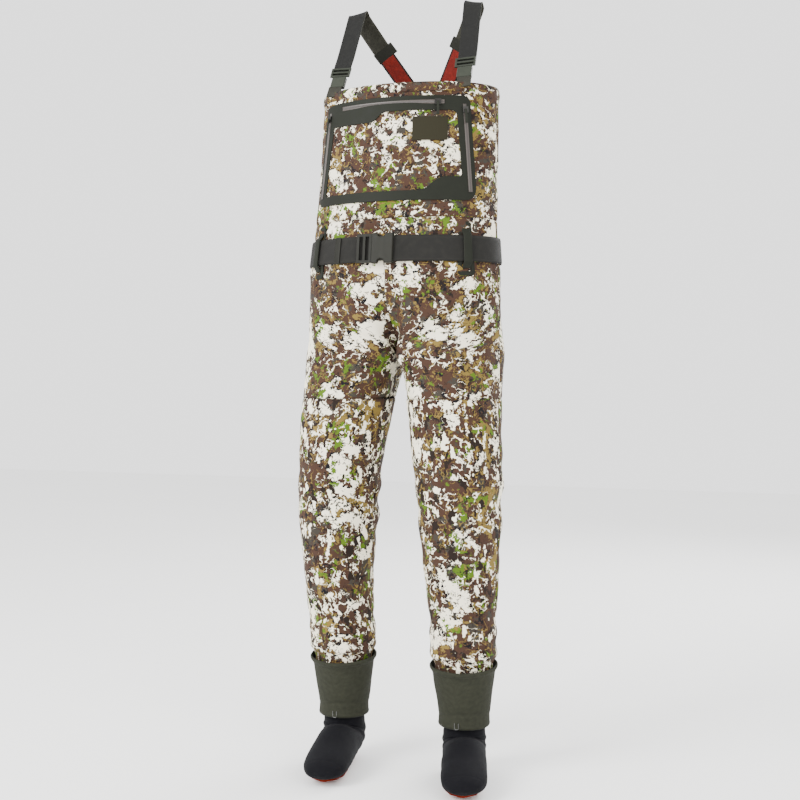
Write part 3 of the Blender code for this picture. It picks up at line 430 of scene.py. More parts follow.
def look(name):
    """The material of this name, made when it is first asked for."""
    if name in LOOKS:
        return LOOKS[name]
    ink = colours()
    makers = {
        "printed_laminate": lambda: printed_cloth(name, 0),
        "printed_knee_laminate": lambda: printed_cloth(name, 1),
        "tricot_lining": lambda: knitted(name, ink.lining, 1.2 * MM, 0.9),
        "polyurethane_trim": lambda: moulded(name, ink.trim, 0.62, 0.9 * MM),
        "woven_label": lambda: knitted(name, ink.label, 1.0 * MM, 0.8, 0.5),
        "nylon_belt": lambda: webbing(name, ink.belt, ink.belt, 50 * MM, 1.6 * MM),
        "nylon_strap": lambda: webbing(name, ink.webbing, ink.webbing, 38 * MM, 1.4 * MM),
        # A darker copy of the strap webbing for the inner face: painted shade.
        "nylon_strap_shaded_back": lambda: webbing(name, ink.strap_shaded_back, ink.strap_shaded_back, 38 * MM, 1.4 * MM),
        "red_elastic": lambda: webbing(name, ink.elastic, ink.elastic_edge, 36 * MM, 1.5 * MM),
        "acetal_belt_buckle": lambda: moulded(name, ink.belt_plastic, 0.42),
        "acetal_strap_buckle": lambda: moulded(name, ink.strap_plastic, 0.4),
        "jersey_neoprene_olive": lambda: knitted(name, ink.guard, 1.3 * MM, 0.88),
        "jersey_neoprene_black": lambda: knitted(name, ink.sock, 1.3 * MM, 0.85),
        "sole_rubber": lambda: moulded(name, ink.sole, 0.7, 1.2 * MM),
        "taped_zip": lambda: zip_teeth(name, ink.tape),
        "zinc_slider": lambda: cast_metal(name, hex_colour("#3a3937"), 0.4, 1.5 * MM),
        "stainless_wire": lambda: cast_metal(name, hex_colour("#6a6a68"), 0.35, 1.0 * MM),
        "studio_floor": lambda: seamless_floor(name, ink.floor),
    }
    LOOKS[name] = makers[name]()
    return LOOKS[name]


# ---- shapes of the body and legs, read from the CAD solids ----


def corners(nodes, z):
    """Lowest and highest corner of these nodes' points near this height."""
    reach = 1.5 * MM
    places = [v.co for node in nodes for v in frame["nodes"][node].data.vertices if abs(v.co.z - z) < reach]
    lowest = [min(place[axis] for place in places) for axis in range(3)]
    highest = [max(place[axis] for place in places) for axis in range(3)]
    return lowest, highest


def oval(nodes, z):
    """Height, centre X, centre Y, half width and half depth of these nodes at this height."""
    lowest, highest = corners(nodes, z)
    middle = [(a + b) / 2 for a, b in zip(lowest, highest)]
    return (z, middle[0], middle[1], (highest[0] - lowest[0]) / 2, (highest[1] - lowest[1]) / 2)


BIB = ("bib_front", "bib_back")
WAIST = ("waist_front", "waist_back")
HEM_Z = high("bib_hem").z
WAIST_Z = high("waist_front").z
HIP_Z = low("waist_front").z
CROTCH_Z = high("thigh_front_left").z
KNEE_SEAM_Z = CROTCH_Z - 0.090  # where the knee panel is joined on, below the crotch
HEM_BAND = high("bib_hem").z - low("bib_hem").z
CORNER = math.cos(math.radians(10.0))  # a leg's solid has corners 20 degrees apart, and none at its sides

TORSO = (
    (HEM_Z, 0.0, (low("bib_hem").y + high("bib_hem").y) / 2, high("bib_hem").x - 1.5 * MM,
     (high("bib_hem").y - low("bib_hem").y) / 2 - 1.5 * MM),
    oval(WAIST, WAIST_Z),
    oval(WAIST, HIP_Z),
    (CROTCH_Z, 0.0, 0.0, high("seat_left").x, high("thigh_back_left").y + 2 * MM),
)


def leg_ovals(side):
    shins = (f"shin_front_{side}", f"shin_back_{side}")
    thighs = (f"thigh_front_{side}", f"thigh_back_{side}")
    heights = (
        (thighs, CROTCH_Z),
        ((f"knee_fold_{side}",), joint_place(f"knee_{side}").z),
        (shins, high(f"gravel_guard_{side}").z),
        (shins, low(shins[0]).z),
    )
    found = [oval(nodes, z) for nodes, z in heights]
    return [(z, x, y, half_width / CORNER, half_depth) for z, x, y, half_width, half_depth in found]


LEGS = {side: leg_ovals(side) for side in SIDES}


def eased(stations, z):
    """The stations' values at this height, on one smooth line through them."""
    if z >= stations[0][0]:
        return stations[0][1:]
    if z <= stations[-1][0]:
        return stations[-1][1:]
    last = len(stations) - 1
    at = next(n for n in range(last) if z >= stations[n + 1][0])
    four = (at - 1, at, at + 1, at + 2)
    above, upper, lower, below = (stations[min(max(n, 0), last)] for n in four)
    span = lower[0] - upper[0]
    share = (z - upper[0]) / span
    values = []
    for n in range(1, len(upper)):
        slope_in = (lower[n] - above[n]) / (lower[0] - above[0]) * span
        slope_out = (below[n] - upper[n]) / (below[0] - upper[0]) * span
        cube, square = share ** 3, share ** 2
        values.append((2 * cube - 3 * square + 1) * upper[n] + (cube - 2 * square + share) * slope_in
                      + (3 * square - 2 * cube) * lower[n] + (cube - square) * slope_out)
    return values


def oval_place(stations, turn, z, lift):
    """A place on the ovals of the torso or of a leg, lifted off their surface."""
    x, y, half_width, half_depth = eased(stations, z)
    across = (half_width + lift) * math.sin(math.radians(turn))
    forward = (half_depth + lift) * math.cos(math.radians(turn))
    return Vector((x + across, y - forward, z))


def torso_place(turn, z, lift=0.0):
    return oval_place(TORSO, turn, z, lift)


def leg_place(side, turn, z, lift=0.0):
    return oval_place(LEGS[side], turn, z, lift)


def on_circle(turn, z=0.0):
    """A place on the unit circle, for noise that meets itself after a full turn."""
    return Vector((math.sin(math.radians(turn)), math.cos(math.radians(turn)), z))


SEAT_CURVE = 3.0  # how late the seat's centre seam turns under to the crotch
INSEAM_MEET = 0.055  # the legs' cloth lies together this far below the crotch
INSEAM_PULL = 0.9  # how nearly the two inseams reach the middle
HALF_SPAN = 0.2  # cloth this far from the middle isn't pulled in at all


def trouser_place(side, turn, z):
    """A place on one half of the trousers, from 0 at the centre front to 180 at the centre back."""
    sign = SIDES[side]
    if z >= HIP_Z:
        return torso_place(sign * turn, z)
    around = sign * (2 * turn - 90)
    if z > CROTCH_Z:
        share = ((HIP_Z - z) / (HIP_Z - CROTCH_Z)) ** SEAT_CURVE
        leg = leg_place(side, around, CROTCH_Z)
        leg.z = z
        place = torso_place(sign * turn, z).lerp(leg, share)
    else:
        share = 1.0
        place = leg_place(side, around, z)
    inner = max(0.0, math.cos(math.radians(2 * turn)))
    meet = max(0.0, 1 - max(0.0, CROTCH_Z - z) / INSEAM_MEET)
    pull = share * smooth(inner) * smooth(meet) * INSEAM_PULL
    place.x -= place.x * pull * (1 - abs(place.x) / HALF_SPAN)
    return place


def smooth(share):
    share = min(1.0, max(0.0, share))
    return share * share * (3 - 2 * share)


def torso_turn(x, z, lift=0.0):
    """The turn at which the torso's front has this X."""
    _, _, half_width, _ = eased(TORSO, z)
    return math.degrees(math.asin(max(-1.0, min(1.0, x / (half_width + lift)))))


def steps(start_at, end_at, step):
    """Values from start to end, about a step apart."""
    count = max(2, math.ceil(abs(end_at - start_at) / step))
    return [start_at + (end_at - start_at) * n / count for n in range(count + 1)]


# ---- folds ----


def ridge(distance, width):
    """A smooth ridge of height 1 at distance 0."""
    return math.exp(-(distance / width) ** 2)


def wander(place, scale, seed):
    """Smooth noise between -1 and 1, about this many metres across."""
    return noise.noise(place / scale + Vector((seed, seed * 1.7, seed * 0.6)))


def cloth_folds(place, seed):
    """Broad, soft folds and small wrinkles."""
    size = sizes()
    stretched = Vector((place.x, place.y, place.z * 0.55))
    broad = wander(stretched, 0.085, seed) + 0.5 * wander(place, 0.045, seed + 3)
    sharp = 1 - abs(wander(stretched, 0.06, seed + 7)) * 2.2
    return size.soft_fold * broad + size.small_fold * (max(0.0, sharp) + wander(place, 0.016, seed + 5))


GROIN_REACH = 85  # degrees of turn that the groin's creases run across
GROIN_CREASES = (  # slope, height at the inseam, width and strength
    (0.9, 0.02, 0.09, 1.0),
    (0.55, 0.20, 0.10, 0.7),
    (1.3, -0.16, 0.07, 0.6),
    (0.25, -0.30, 0.08, 0.5),
)


def groin_folds(side, turn, z):
    """Creases that run out from the crotch towards the hip, on the front and the back."""
    front = turn < 90
    across = turn if front else 180 - turn
    if across > GROIN_REACH:
        return 0.0
    down = (z - CROTCH_Z) / 0.20
    total = 0.0
    for slope, height, width, share in GROIN_CREASES:
        line = height + slope * across / GROIN_REACH
        total += share * ridge(down - line, width) * ridge(across - 30, 42)
    hollow = ridge(across, 10) * ridge(down - 0.20, 0.95)
    return sizes().groin_fold * (hollow * -1.9 + 0.65 * total)


def blouse_folds(place, turn, above, seed):
    """Rings of cloth that sit above a guard's cuff: above is the height over it."""
    size = sizes()
    swell = ridge(above - 0.030, 0.028)
    phase = 1.3 * wander(on_circle(turn), 0.9, seed)
    rings = math.sin(above / 0.024 * math.pi + 2.6 * phase)
    return size.blouse_fold * (swell * 1.3 + 0.55 * rings * ridge(above - 0.045, 0.05))


def knee_folds(place, turn, z, knee_z, seed):
    """Folds behind the knee, and shallow drags in front of it."""
    behind = smooth((abs(((turn + 180) % 360) - 180) - 60) / 90)
    phase = 1.5 * wander(Vector((turn / 70, 0.0, z * 5)), 1.0, seed)
    rings = math.sin((z - knee_z) / 0.034 * math.pi + 2.0 * phase)
    near = ridge(z - knee_z, 0.10)
    return sizes().soft_fold * near * rings * (0.25 + 0.75 * behind)


# ---- meshes ----


def normals_of(grid, ring):
    """Outward normals of a grid of places whose columns run towards +X at the front and rows run down."""
    if ring:
        across = np.roll(grid, -1, axis=1) - np.roll(grid, 1, axis=1)
    else:
        across = np.gradient(grid, axis=1)
    down = np.gradient(grid, axis=0)
    out = np.cross(down, across)
    return out / np.maximum(np.linalg.norm(out, axis=2, keepdims=True), 1e-12)


def measured(grid, ring):
    """How far each place of a grid is along its row and its column, in metres, for the UV map."""
    closed = np.concatenate([grid, grid[:, :1]], axis=1) if ring else grid
    across = np.linalg.norm(np.diff(closed, axis=1), axis=2)
    u = np.concatenate([np.zeros((len(grid), 1)), np.cumsum(across, axis=1)], axis=1)
    u -= u[:, [u.shape[1] // 2]]
    down = np.linalg.norm(np.diff(closed, axis=0), axis=2).mean(axis=1)
    v = -np.concatenate([[0.0], np.cumsum(down)])
    return u, np.repeat(v[:, None], u.shape[1], axis=1)


def mesh_piece(name, places, faces, uvs, slots, looks):
    """An object from places, faces, a UV for each face corner and a material for each face."""
    mesh = bpy.data.meshes.new(name)
    mesh.from_pydata([tuple(place) for place in places], [], faces)
    layer = mesh.uv_layers.new(name="cut")
    layer.data.foreach_set("uv", np.asarray(uvs, np.float32).ravel())
    mesh.polygons.foreach_set("material_index", slots)
    mesh.polygons.foreach_set("use_smooth", [True] * len(faces))
    for material in looks:
        mesh.materials.append(look(material))
    mesh.update()
    piece = bpy.data.objects.new(name, mesh)
    bpy.context.scene.collection.objects.link(piece)
    return piece


def shell(name, grid, wall, looks, ring=False, shift=(0.0, 0.0), inside=None):
    """A closed shell: the grid is its outer face, and its wall grows inwards."""
    grid = np.asarray(grid, float)
    rows, columns = grid.shape[:2]
    inner = grid - normals_of(grid, ring) * wall if inside is None else np.asarray(inside, float)
    u, v = measured(grid, ring)
    u, v = u + shift[0], v + shift[1]
    places = np.concatenate([grid.reshape(-1, 3), inner.reshape(-1, 3)])
    under = rows * columns
    faces, uvs, slots = [], [], []

    def quad(corner_list, slot):
        faces.append([place for place, _ in corner_list])
        uvs.extend((u[at], v[at]) for _, at in corner_list)
        slots.append(slot)

    last = columns if ring else columns - 1
    for i in range(rows - 1):
        for j in range(last):
            k = (j + 1) % columns
            a, b = i * columns + j, i * columns + k
            c, d = b + columns, a + columns
            cell = [(a, (i, j)), (d, (i + 1, j)), (c, (i + 1, j + 1)), (b, (i, j + 1))]
            quad(cell, 0)
            quad([(place + under, at) for place, at in reversed(cell)], min(1, len(looks) - 1))
    for i, flip in ((0, False), (rows - 1, True)):
        for j in range(last):
            k = (j + 1) % columns
            cell = [(i * columns + j, (i, j)), (i * columns + k, (i, j + 1)),
                    (i * columns + k + under, (i, j + 1)), (i * columns + j + under, (i, j))]
            quad(cell[::-1] if flip else cell, 0)
    if not ring:
        for j, flip in ((0, True), (columns - 1, False)):
            for i in range(rows - 1):
                top, foot = i * columns + j, (i + 1) * columns + j
                cell = [(top, (i, j)), (foot, (i + 1, j)),
                        (foot + under, (i + 1, j)), (top + under, (i, j))]
                quad(cell[::-1] if flip else cell, 0)
    return mesh_piece(name, places, faces, uvs, slots, looks)


def grid_of(place_at, columns, rows):
    return np.array([[tuple(place_at(column, row)) for column in columns] for row in rows])


def pushed(grid, heights, ring=False):
    """The grid moved along its normals by these heights."""
    return grid + normals_of(grid, ring) * np.asarray(heights)[:, :, None]


def seam_dip(distance):
    """How much a seam pulls the cloth in, this far from its middle."""
    size = sizes()
    return -size.seam_depth * ridge(distance, size.seam_width / 2)


def follow(piece, body, slot, *nodes):
    """Rides on its body and stands for these CAD nodes, which it hides; the slot is not used."""
    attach(piece, body)
    if nodes:
        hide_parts(*nodes)
    return piece


# ---- the cloth: bib, hem, trousers and lower legs ----

BELT_Z = (high("belt_webbing").z + low("belt_webbing").z) / 2
BELT_HALF = (high("belt_webbing").z - low("belt_webbing").z) / 2
POCKET_TOP_Z = high("pocket_frame").z
POCKET_END_Z = low("pocket_frame").z


CLOTH_LOOKS = ("printed_laminate", "tricot_lining")  # outer face, inner face


def calm(turn, z):
    """How freely the torso's cloth folds: hardly at all under the pocket and the belt."""
    on_front = 1 - smooth((abs(turn) - 58) / 12)
    in_rows = smooth((z - POCKET_END_Z + 0.02) / 0.02) * smooth((POCKET_TOP_Z + 0.012 - z) / 0.012)
    near_belt = 1 - smooth((abs(z - BELT_Z) - BELT_HALF) / 0.012)
    return 1 - max(0.93 * on_front * in_rows, 0.75 * near_belt)


def belt_gathers(turn, z):
    """Short upright pleats that the belt draws in above and below itself."""
    off = abs(z - BELT_Z) - BELT_HALF
    if off < 0:
        return 0.0
    drift = 2.2 * wander(Vector((turn / 25, 0.0, z * 3)), 1.0, 4.0)
    beat = math.sin(math.radians(turn) * 17 + drift)
    return sizes().soft_fold * 0.55 * beat * ridge(off - 0.012, 0.022)


def torso_heights(turns, rows, edge_turns, seam_rows, seed):
    """The folds and seams of a torso panel."""
    heights = []
    for z in rows:
        line = []
        for turn in turns:
            place = torso_place(turn, z)
            free = calm(turn, z)
            height = cloth_folds(place, seed) * free + belt_gathers(turn, z) * smooth(free)
            near = min(abs(turn - edge) for edge in edge_turns)
            height += seam_dip(math.radians(near) * 0.16)
            height += sum(seam_dip(z - seam) for seam in seam_rows)
            line.append(max(-0.012, height))
        heights.append(line)
    return heights


def make_bib():
    size = sizes()
    rows = steps(HEM_Z - HEM_BAND * 0.6, WAIST_Z, size.mesh_step)
    panels = (("front", -90.0, 90.0, 0.0, 0.0), ("back", 90.0, 270.0, 2.3, 0.9))
    for name, first, last, shift, lift in panels:
        turns = steps(first, last, math.degrees(size.mesh_step / 0.185))
        grid = grid_of(torso_place, turns, rows)
        grid = pushed(grid, torso_heights(turns, rows, (first, last), (WAIST_Z,), 1.0))
        piece = shell(f"bib_{name}_panel", grid, size.cloth_wall, CLOTH_LOOKS,
                      shift=(shift, 0.4 + lift))
        follow(piece, "torso", "camouflage_laminate", f"bib_{name}")
    make_hem()


def make_hem():
    """The folded hem with its drawcord channel: a flattened tube that puckers a little."""
    size = sizes()
    turns = steps(0.0, 360.0, math.degrees(size.mesh_step / 0.185))[:-1]
    profile = []
    for n in range(13):
        share = n / 12
        bulge = math.sin(math.pi * min(1.0, share * 1.06)) ** 0.6
        profile.append((HEM_Z - 0.0006 - share * HEM_BAND, 0.4 * MM + 1.9 * MM * bulge))
    rows = []
    for drop, lift in profile:
        line = []
        for turn in turns:
            pucker = wander(on_circle(turn), 0.055, 9.0)
            soft = wander(torso_place(turn, HEM_Z), 0.10, 1.0) * size.soft_fold * 0.45
            place = torso_place(turn, drop, lift * (1 + 0.35 * pucker) + soft)
            line.append(tuple(place))
        rows.append(line)
    piece = shell("bib_hem_channel", rows, 3.2 * MM, CLOTH_LOOKS, ring=True,
                  shift=(5.2, 3.3))
    follow(piece, "torso", "camouflage_laminate", "bib_hem")


def make_trousers(side):
    """From the waist seam to the knee panel's seam: the hips, the seat and the thigh, front and back."""
    size = sizes()
    sign = SIDES[side]
    rows = steps(WAIST_Z, KNEE_SEAM_Z, size.mesh_step)
    for name, begin, end in (("front", 0.0, 90.0), ("back", 90.0, 180.0)):
        turns = steps(begin, end, 1.55)
        grid = grid_of(lambda turn, z: trouser_place(side, turn, z), turns, rows)
        if sign < 0:
            grid = grid[:, ::-1]
        heights = trouser_heights(side, turns, rows, grid)
        grid = pushed(grid, heights)
        grid = meet_at_middle(grid, turns, rows, sign)
        piece = shell(f"trouser_{name}_{side}", grid, size.cloth_wall, CLOTH_LOOKS,
                      shift=(sign * 1.9 + begin / 20, 6.0 + begin / 60))
        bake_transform(piece)
        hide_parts(f"waist_{name}", f"seat_{side}", f"thigh_{name}_{side}")


def trouser_heights(side, turns, rows, grid):
    heights = []
    ordered = turns if SIDES[side] > 0 else turns[::-1]
    for i, z in enumerate(rows):
        line = []
        for j, turn in enumerate(ordered):
            place = Vector(grid[i, j])
            free = calm(turn * SIDES[side], z)
            gathers = belt_gathers(turn * SIDES[side], z) * smooth(free)
            height = cloth_folds(place, 1.0) * free + gathers
            height += groin_folds(side, turn, z)
            height += seam_dip(abs(turn - 90) * math.radians(1.0) * 0.19)
            height += seam_dip(z - WAIST_Z) + seam_dip(z - KNEE_SEAM_Z)
            line.append(height)
        heights.append(line)
    return heights


def meet_at_middle(grid, turns, rows, sign):
    """Brings the edge of each half to the middle above the crotch, so that both halves share it."""
    middle = 0 if (turns[0] < 1) == (sign > 0) else -1
    if turns[0] >= 1 and turns[-1] < 179:
        return grid
    for i, z in enumerate(rows):
        if z >= CROTCH_Z - 0.012:
            edge = grid[i, middle].copy()
            for back in range(4):
                at = back if middle == 0 else -1 - back
                pull = (1 - back / 4) ** 2
                grid[i, at, 0] -= edge[0] * pull
    return grid


def make_lower_leg(side):
    """The knee panel, with its seam down the front, and the calf: they end inside the guard."""
    size = sizes()
    sign = SIDES[side]
    knee = joint_place(f"knee_{side}")
    guard_top = high(f"gravel_guard_{side}").z
    rows = steps(KNEE_SEAM_Z, low(f"shin_front_{side}").z + 0.03, size.mesh_step)
    for name, begin, end, face in (("front", 0.0, 90.0, "printed_knee_laminate"),
                                   ("back", 90.0, 180.0, "printed_laminate")):
        turns = steps(begin, end, 1.55)
        grid = grid_of(lambda turn, z: trouser_place(side, turn, z), turns, rows)
        ordered = turns
        if sign < 0:
            grid, ordered = grid[:, ::-1], turns[::-1]
        heights = []
        for i, z in enumerate(rows):
            line = []
            for j, turn in enumerate(ordered):
                around = 2 * turn - 90
                free = smooth((z - guard_top) / 0.02)
                place = Vector(grid[i, j])
                height = cloth_folds(place, 1.0) + knee_folds(place, around, z, knee.z, 2.0 + sign)
                height += blouse_folds(place, around, z - guard_top, 5.0 + sign)
                height = height * free - 0.6 * MM * (1 - free)
                height += seam_dip(abs(turn - 90) * math.radians(2.0) * 0.075) + seam_dip(z - KNEE_SEAM_Z)
                if name == "front":
                    height += seam_dip(abs(turn - 45) * math.radians(2.0) * 0.075)
                line.append(height)
            heights.append(line)
        grid = pushed(grid, heights)
        piece = shell(f"shin_{name}_panel_{side}", grid, size.cloth_wall, (face, "tricot_lining"),
                      shift=(sign * 4.1 + begin / 15, 2.0 + sign))
        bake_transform(piece)
        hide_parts(f"shin_{name}_{side}", f"knee_fold_{side}")


# ---- neoprene: guards, socks and soles ----


def make_guard(side):
    """A gravel guard: a neoprene sleeve with a doubled, stitched edge above and below."""
    node = f"gravel_guard_{side}"
    top, foot = high(node).z, low(node).z
    turns = steps(0.0, 360.0, 4.5)[:-1]
    rows = steps(top, foot, 2.2 * MM)
    band = 0.011
    grid, heights = [], []
    for z in rows:
        line, lift = [], []
        for turn in turns:
            wave = 1.6 * MM * wander(leg_place(side, turn, top), 0.05, 6.0) * ridge(z - top, 0.02)
            wave -= 6.0 * MM * math.cos(math.radians(turn)) * (1 - smooth((top - z) / 0.06))
            flare = 4.5 * MM * (1 - smooth((top - z) / 0.018))
            place = leg_place(side, turn, z, 4.6 * MM + flare)
            line.append((place.x, place.y, place.z + wave))
            height = 1.0 * MM * wander(place, 0.035, 2.0)
            crease = foot + 0.027 + 0.004 * math.sin(math.radians(turn * 2 + 40))
            where = ridge(math.sin(math.radians(turn - 20) / 2), 0.6)
            height -= 1.8 * MM * ridge(z - crease, 3.0 * MM) * where
            for edge in (top - band, foot + band * 0.8):
                height -= 0.8 * MM * ridge(z - edge, 1.6 * MM)
            bands = ridge(z - top + band / 2, band * 0.55) + ridge(z - foot - band / 2, band * 0.5)
            height += 0.9 * MM * bands
            height -= 2.6 * MM * (ridge(z - top, 1.6 * MM) + ridge(z - foot, 1.6 * MM))
            lift.append(height)
        grid.append(line)
        heights.append(lift)
    grid = pushed(np.array(grid), heights, ring=True)
    piece = shell(f"guard_sleeve_{side}", grid, 3.0 * MM, ("jersey_neoprene_olive",), ring=True)
    follow(piece, f"shin_{side}", "guard_neoprene", node)


FOOT_YAW = {"left": 17.0, "right": 9.0}  # degrees towards +X
FOOT_RINGS = (
    # forward of the ankle, below it, tilt, half width, half height
    (0.000, -0.034, 0.0, 0.0375, 0.0375),
    (0.000, -0.010, 0.0, 0.0385, 0.0385),
    (0.000, 0.014, 10.0, 0.0420, 0.0440),
    (0.007, 0.038, 38.0, 0.0425, 0.0500),
    (0.055, 0.040, 60.0, 0.0420, 0.0405),
    (0.108, 0.048, 76.0, 0.0435, 0.0300),
    (0.158, 0.056, 80.0, 0.0415, 0.0225),
    (0.184, 0.060, 82.0, 0.0285, 0.0145),
    (0.1925, 0.0625, 83.0, 0.0100, 0.0050),
    (0.1950, 0.0632, 84.0, 0.0004, 0.0003),
)


def foot_axes(side):
    yaw = math.radians(FOOT_YAW[side])
    return Vector((math.sin(yaw), -math.cos(yaw), 0.0)), Vector((math.cos(yaw), math.sin(yaw), 0.0))


def foot_ring(side, at):
    """Ring number `at` of the foot, which may lie between two of the named rings."""
    last = len(FOOT_RINGS) - 1
    whole = min(int(at), last - 1)
    share = at - whole
    four = [FOOT_RINGS[min(max(whole + n, 0), last)] for n in (-1, 0, 1, 2)]
    values = []
    for a, b, c, d in zip(*four):
        bend = 2 * a - 5 * b + 4 * c - d + share * (3 * (b - c) + d - a)
        values.append(b + 0.5 * share * (c - a + share * bend))
    return values


def foot_place(side, at, angle, lift=0.0):
    forward, fall, tilt, half_width, half_height = foot_ring(side, at)
    ankle = joint_place(f"ankle_{side}")
    ahead, across = foot_axes(side)
    lean = math.radians(tilt)
    rise = ahead * math.cos(lean) + Vector((0, 0, 1)) * math.sin(lean)
    up = math.cos(angle)
    if up < 0:
        flat = smooth((at - 2.5) / 1.5)
        up = -(abs(up) ** (1 - 0.35 * flat))
    middle = ankle + ahead * forward - Vector((0, 0, fall))
    sideways = across * (half_width + lift) * math.sin(angle)
    return middle + sideways + rise * (half_height + lift) * up


def make_sock(side):
    """A neoprene sock: a tube down from the guard that turns forward into a blunt toe, with a seam
    over the instep and round the toes."""
    count = 56
    angles = [2 * math.pi * n / count for n in range(count)]
    rows = steps(0.0, len(FOOT_RINGS) - 1.0, 0.07)
    grid = grid_of(lambda angle, at: foot_place(side, at, angle), angles, rows)
    grid = grid[:, ::-1] if normals_point_in(grid) else grid
    heights = []
    for i, at in enumerate(rows):
        line = []
        for j in range(count):
            place = Vector(grid[i, j])
            ankle_rings = math.sin(at * 9 + 2 * wander(place, 0.05, 8.0)) * ridge(at - 2.6, 0.9)
            height = 1.0 * MM * wander(place, 0.03, 4.0) + 1.1 * MM * ankle_rings
            height -= 0.9 * MM * ridge((at - 6.45) * 0.05, 1.6 * MM)
            line.append(height)
        heights.append(line)
    grid = pushed(grid, heights, ring=True)
    piece = shell(f"sock_bootie_{side}", grid, 2.6 * MM, ("jersey_neoprene_black",), ring=True)
    ankle = joint_place(f"ankle_{side}")
    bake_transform(piece)
    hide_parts(f"sock_{side}")


def normals_point_in(grid):
    out = normals_of(grid, True)
    middle = grid.mean(axis=1, keepdims=True)
    return float(((grid - middle) * out).sum()) < 0


SOLE_SHORT = 0.015  # the sole ends this much inside its CAD outline, under the toes


SOLE_WIDTHS = (  # share of the way from heel to toe, and the half width there
    (0.0, 0.006),
    (0.02, 0.016),
    (0.07, 0.025),
    (0.2, 0.030),
    (0.45, 0.027),
    (0.7, 0.034),
    (0.84, 0.034),
    (0.94, 0.026),
    (0.985, 0.014),
    (1.0, 0.005),
)


def make_sole(side):
    """A dense moulded sole with a rolled edge, curved to the foot."""
    node = f"sole_{side}"
    ahead, across = foot_axes(side)
    places = [v.co for v in frame["nodes"][node].data.vertices]
    along = [place.dot(ahead) for place in places]
    back, front = min(along), max(along)
    front -= SOLE_SHORT
    span = front - back
    heel = [place for place in places if place.dot(ahead) < back + 0.25 * span]
    toe = [place for place in places if place.dot(ahead) > front - 0.25 * span]
    thick = 3.6 * MM
    heel_z, toe_z = max(place.z for place in heel), max(place.z for place in toe)
    middle = sum((place.dot(across) for place in heel)) / len(heel)
    rows = []
    for share in steps(0.0, 1.0, 0.025):
        last = len(SOLE_WIDTHS) - 1
        at = next(n for n in range(last) if share <= SOLE_WIDTHS[n + 1][0] + 1e-9)
        (a, wide_a), (b, wide_b) = SOLE_WIDTHS[at], SOLE_WIDTHS[at + 1]
        half = wide_a + (wide_b - wide_a) * smooth((share - a) / (b - a))
        height = heel_z + (toe_z - heel_z) * share
        line = []
        for angle in steps(0.0, 2 * math.pi, 0.28)[:-1]:
            flat = 1 - abs(math.cos(angle)) ** 6
            out = math.copysign(min(1.0, abs(math.cos(angle)) ** 0.45), math.cos(angle)) * half
            lift = math.copysign(abs(math.sin(angle)) ** 0.6, math.sin(angle)) * thick / 2
            lift *= max(0.25, flat)
            place = ahead * (back + span * share) + across * (middle + out)
            line.append((place.x, place.y, height - thick / 2 + lift))
        rows.append(line)
    grid = np.array(rows)
    grid = grid[:, ::-1] if normals_point_in(grid) else grid
    piece = solid_tube(f"sole_pad_{side}", grid, "sole_rubber")
    follow(piece, f"foot_{side}", "sole_rubber", node)


# ---- welded trims, the pocket and its zips ----

ARC = 0.165  # the torso's front, metres of cloth for each radian of turn


def solid_tube(name, grid, material):
    """A closed tube along the rows of a grid, with a cap on each end."""
    rows, columns = grid.shape[:2]
    u, v = measured(grid, True)
    faces, uvs = [], []
    for i in range(rows - 1):
        for j in range(columns):
            k = (j + 1) % columns
            here, beside = i * columns + j, i * columns + k
            faces.append([here, here + columns, beside + columns, beside])
            uvs.extend((u[at], v[at]) for at in ((i, j), (i + 1, j), (i + 1, j + 1), (i, j + 1)))
    for i, flip in ((0, False), (rows - 1, True)):
        cap = [i * columns + j for j in range(columns)]
        faces.append(cap[::-1] if flip else cap)
        order = range(columns)[::-1] if flip else range(columns)
        uvs.extend((u[i, j], v[i, j]) for j in order)
    return mesh_piece(name, grid.reshape(-1, 3), faces, uvs, [0] * len(faces), (material,))


def rounded(corner_list, radius, count=6):
    """A closed outline through these corners, each cut by an arc of this radius or its own."""
    outline = []
    total = len(corner_list)
    for n in range(total):
        before, here, after = (Vector(corner_list[(n + k) % total][:2]) for k in (-1, 0, 1))
        wanted = corner_list[n][2] if len(corner_list[n]) > 2 else radius
        to_before, to_after = (before - here), (after - here)
        reach = min(wanted, to_before.length * 0.48, to_after.length * 0.48)
        first, last = here + to_before.normalized() * reach, here + to_after.normalized() * reach
        for k in range(count + 1):
            t = k / count
            outline.append(first * (1 - t) ** 2 + here * (2 * t * (1 - t)) + last * t ** 2)
    return outline


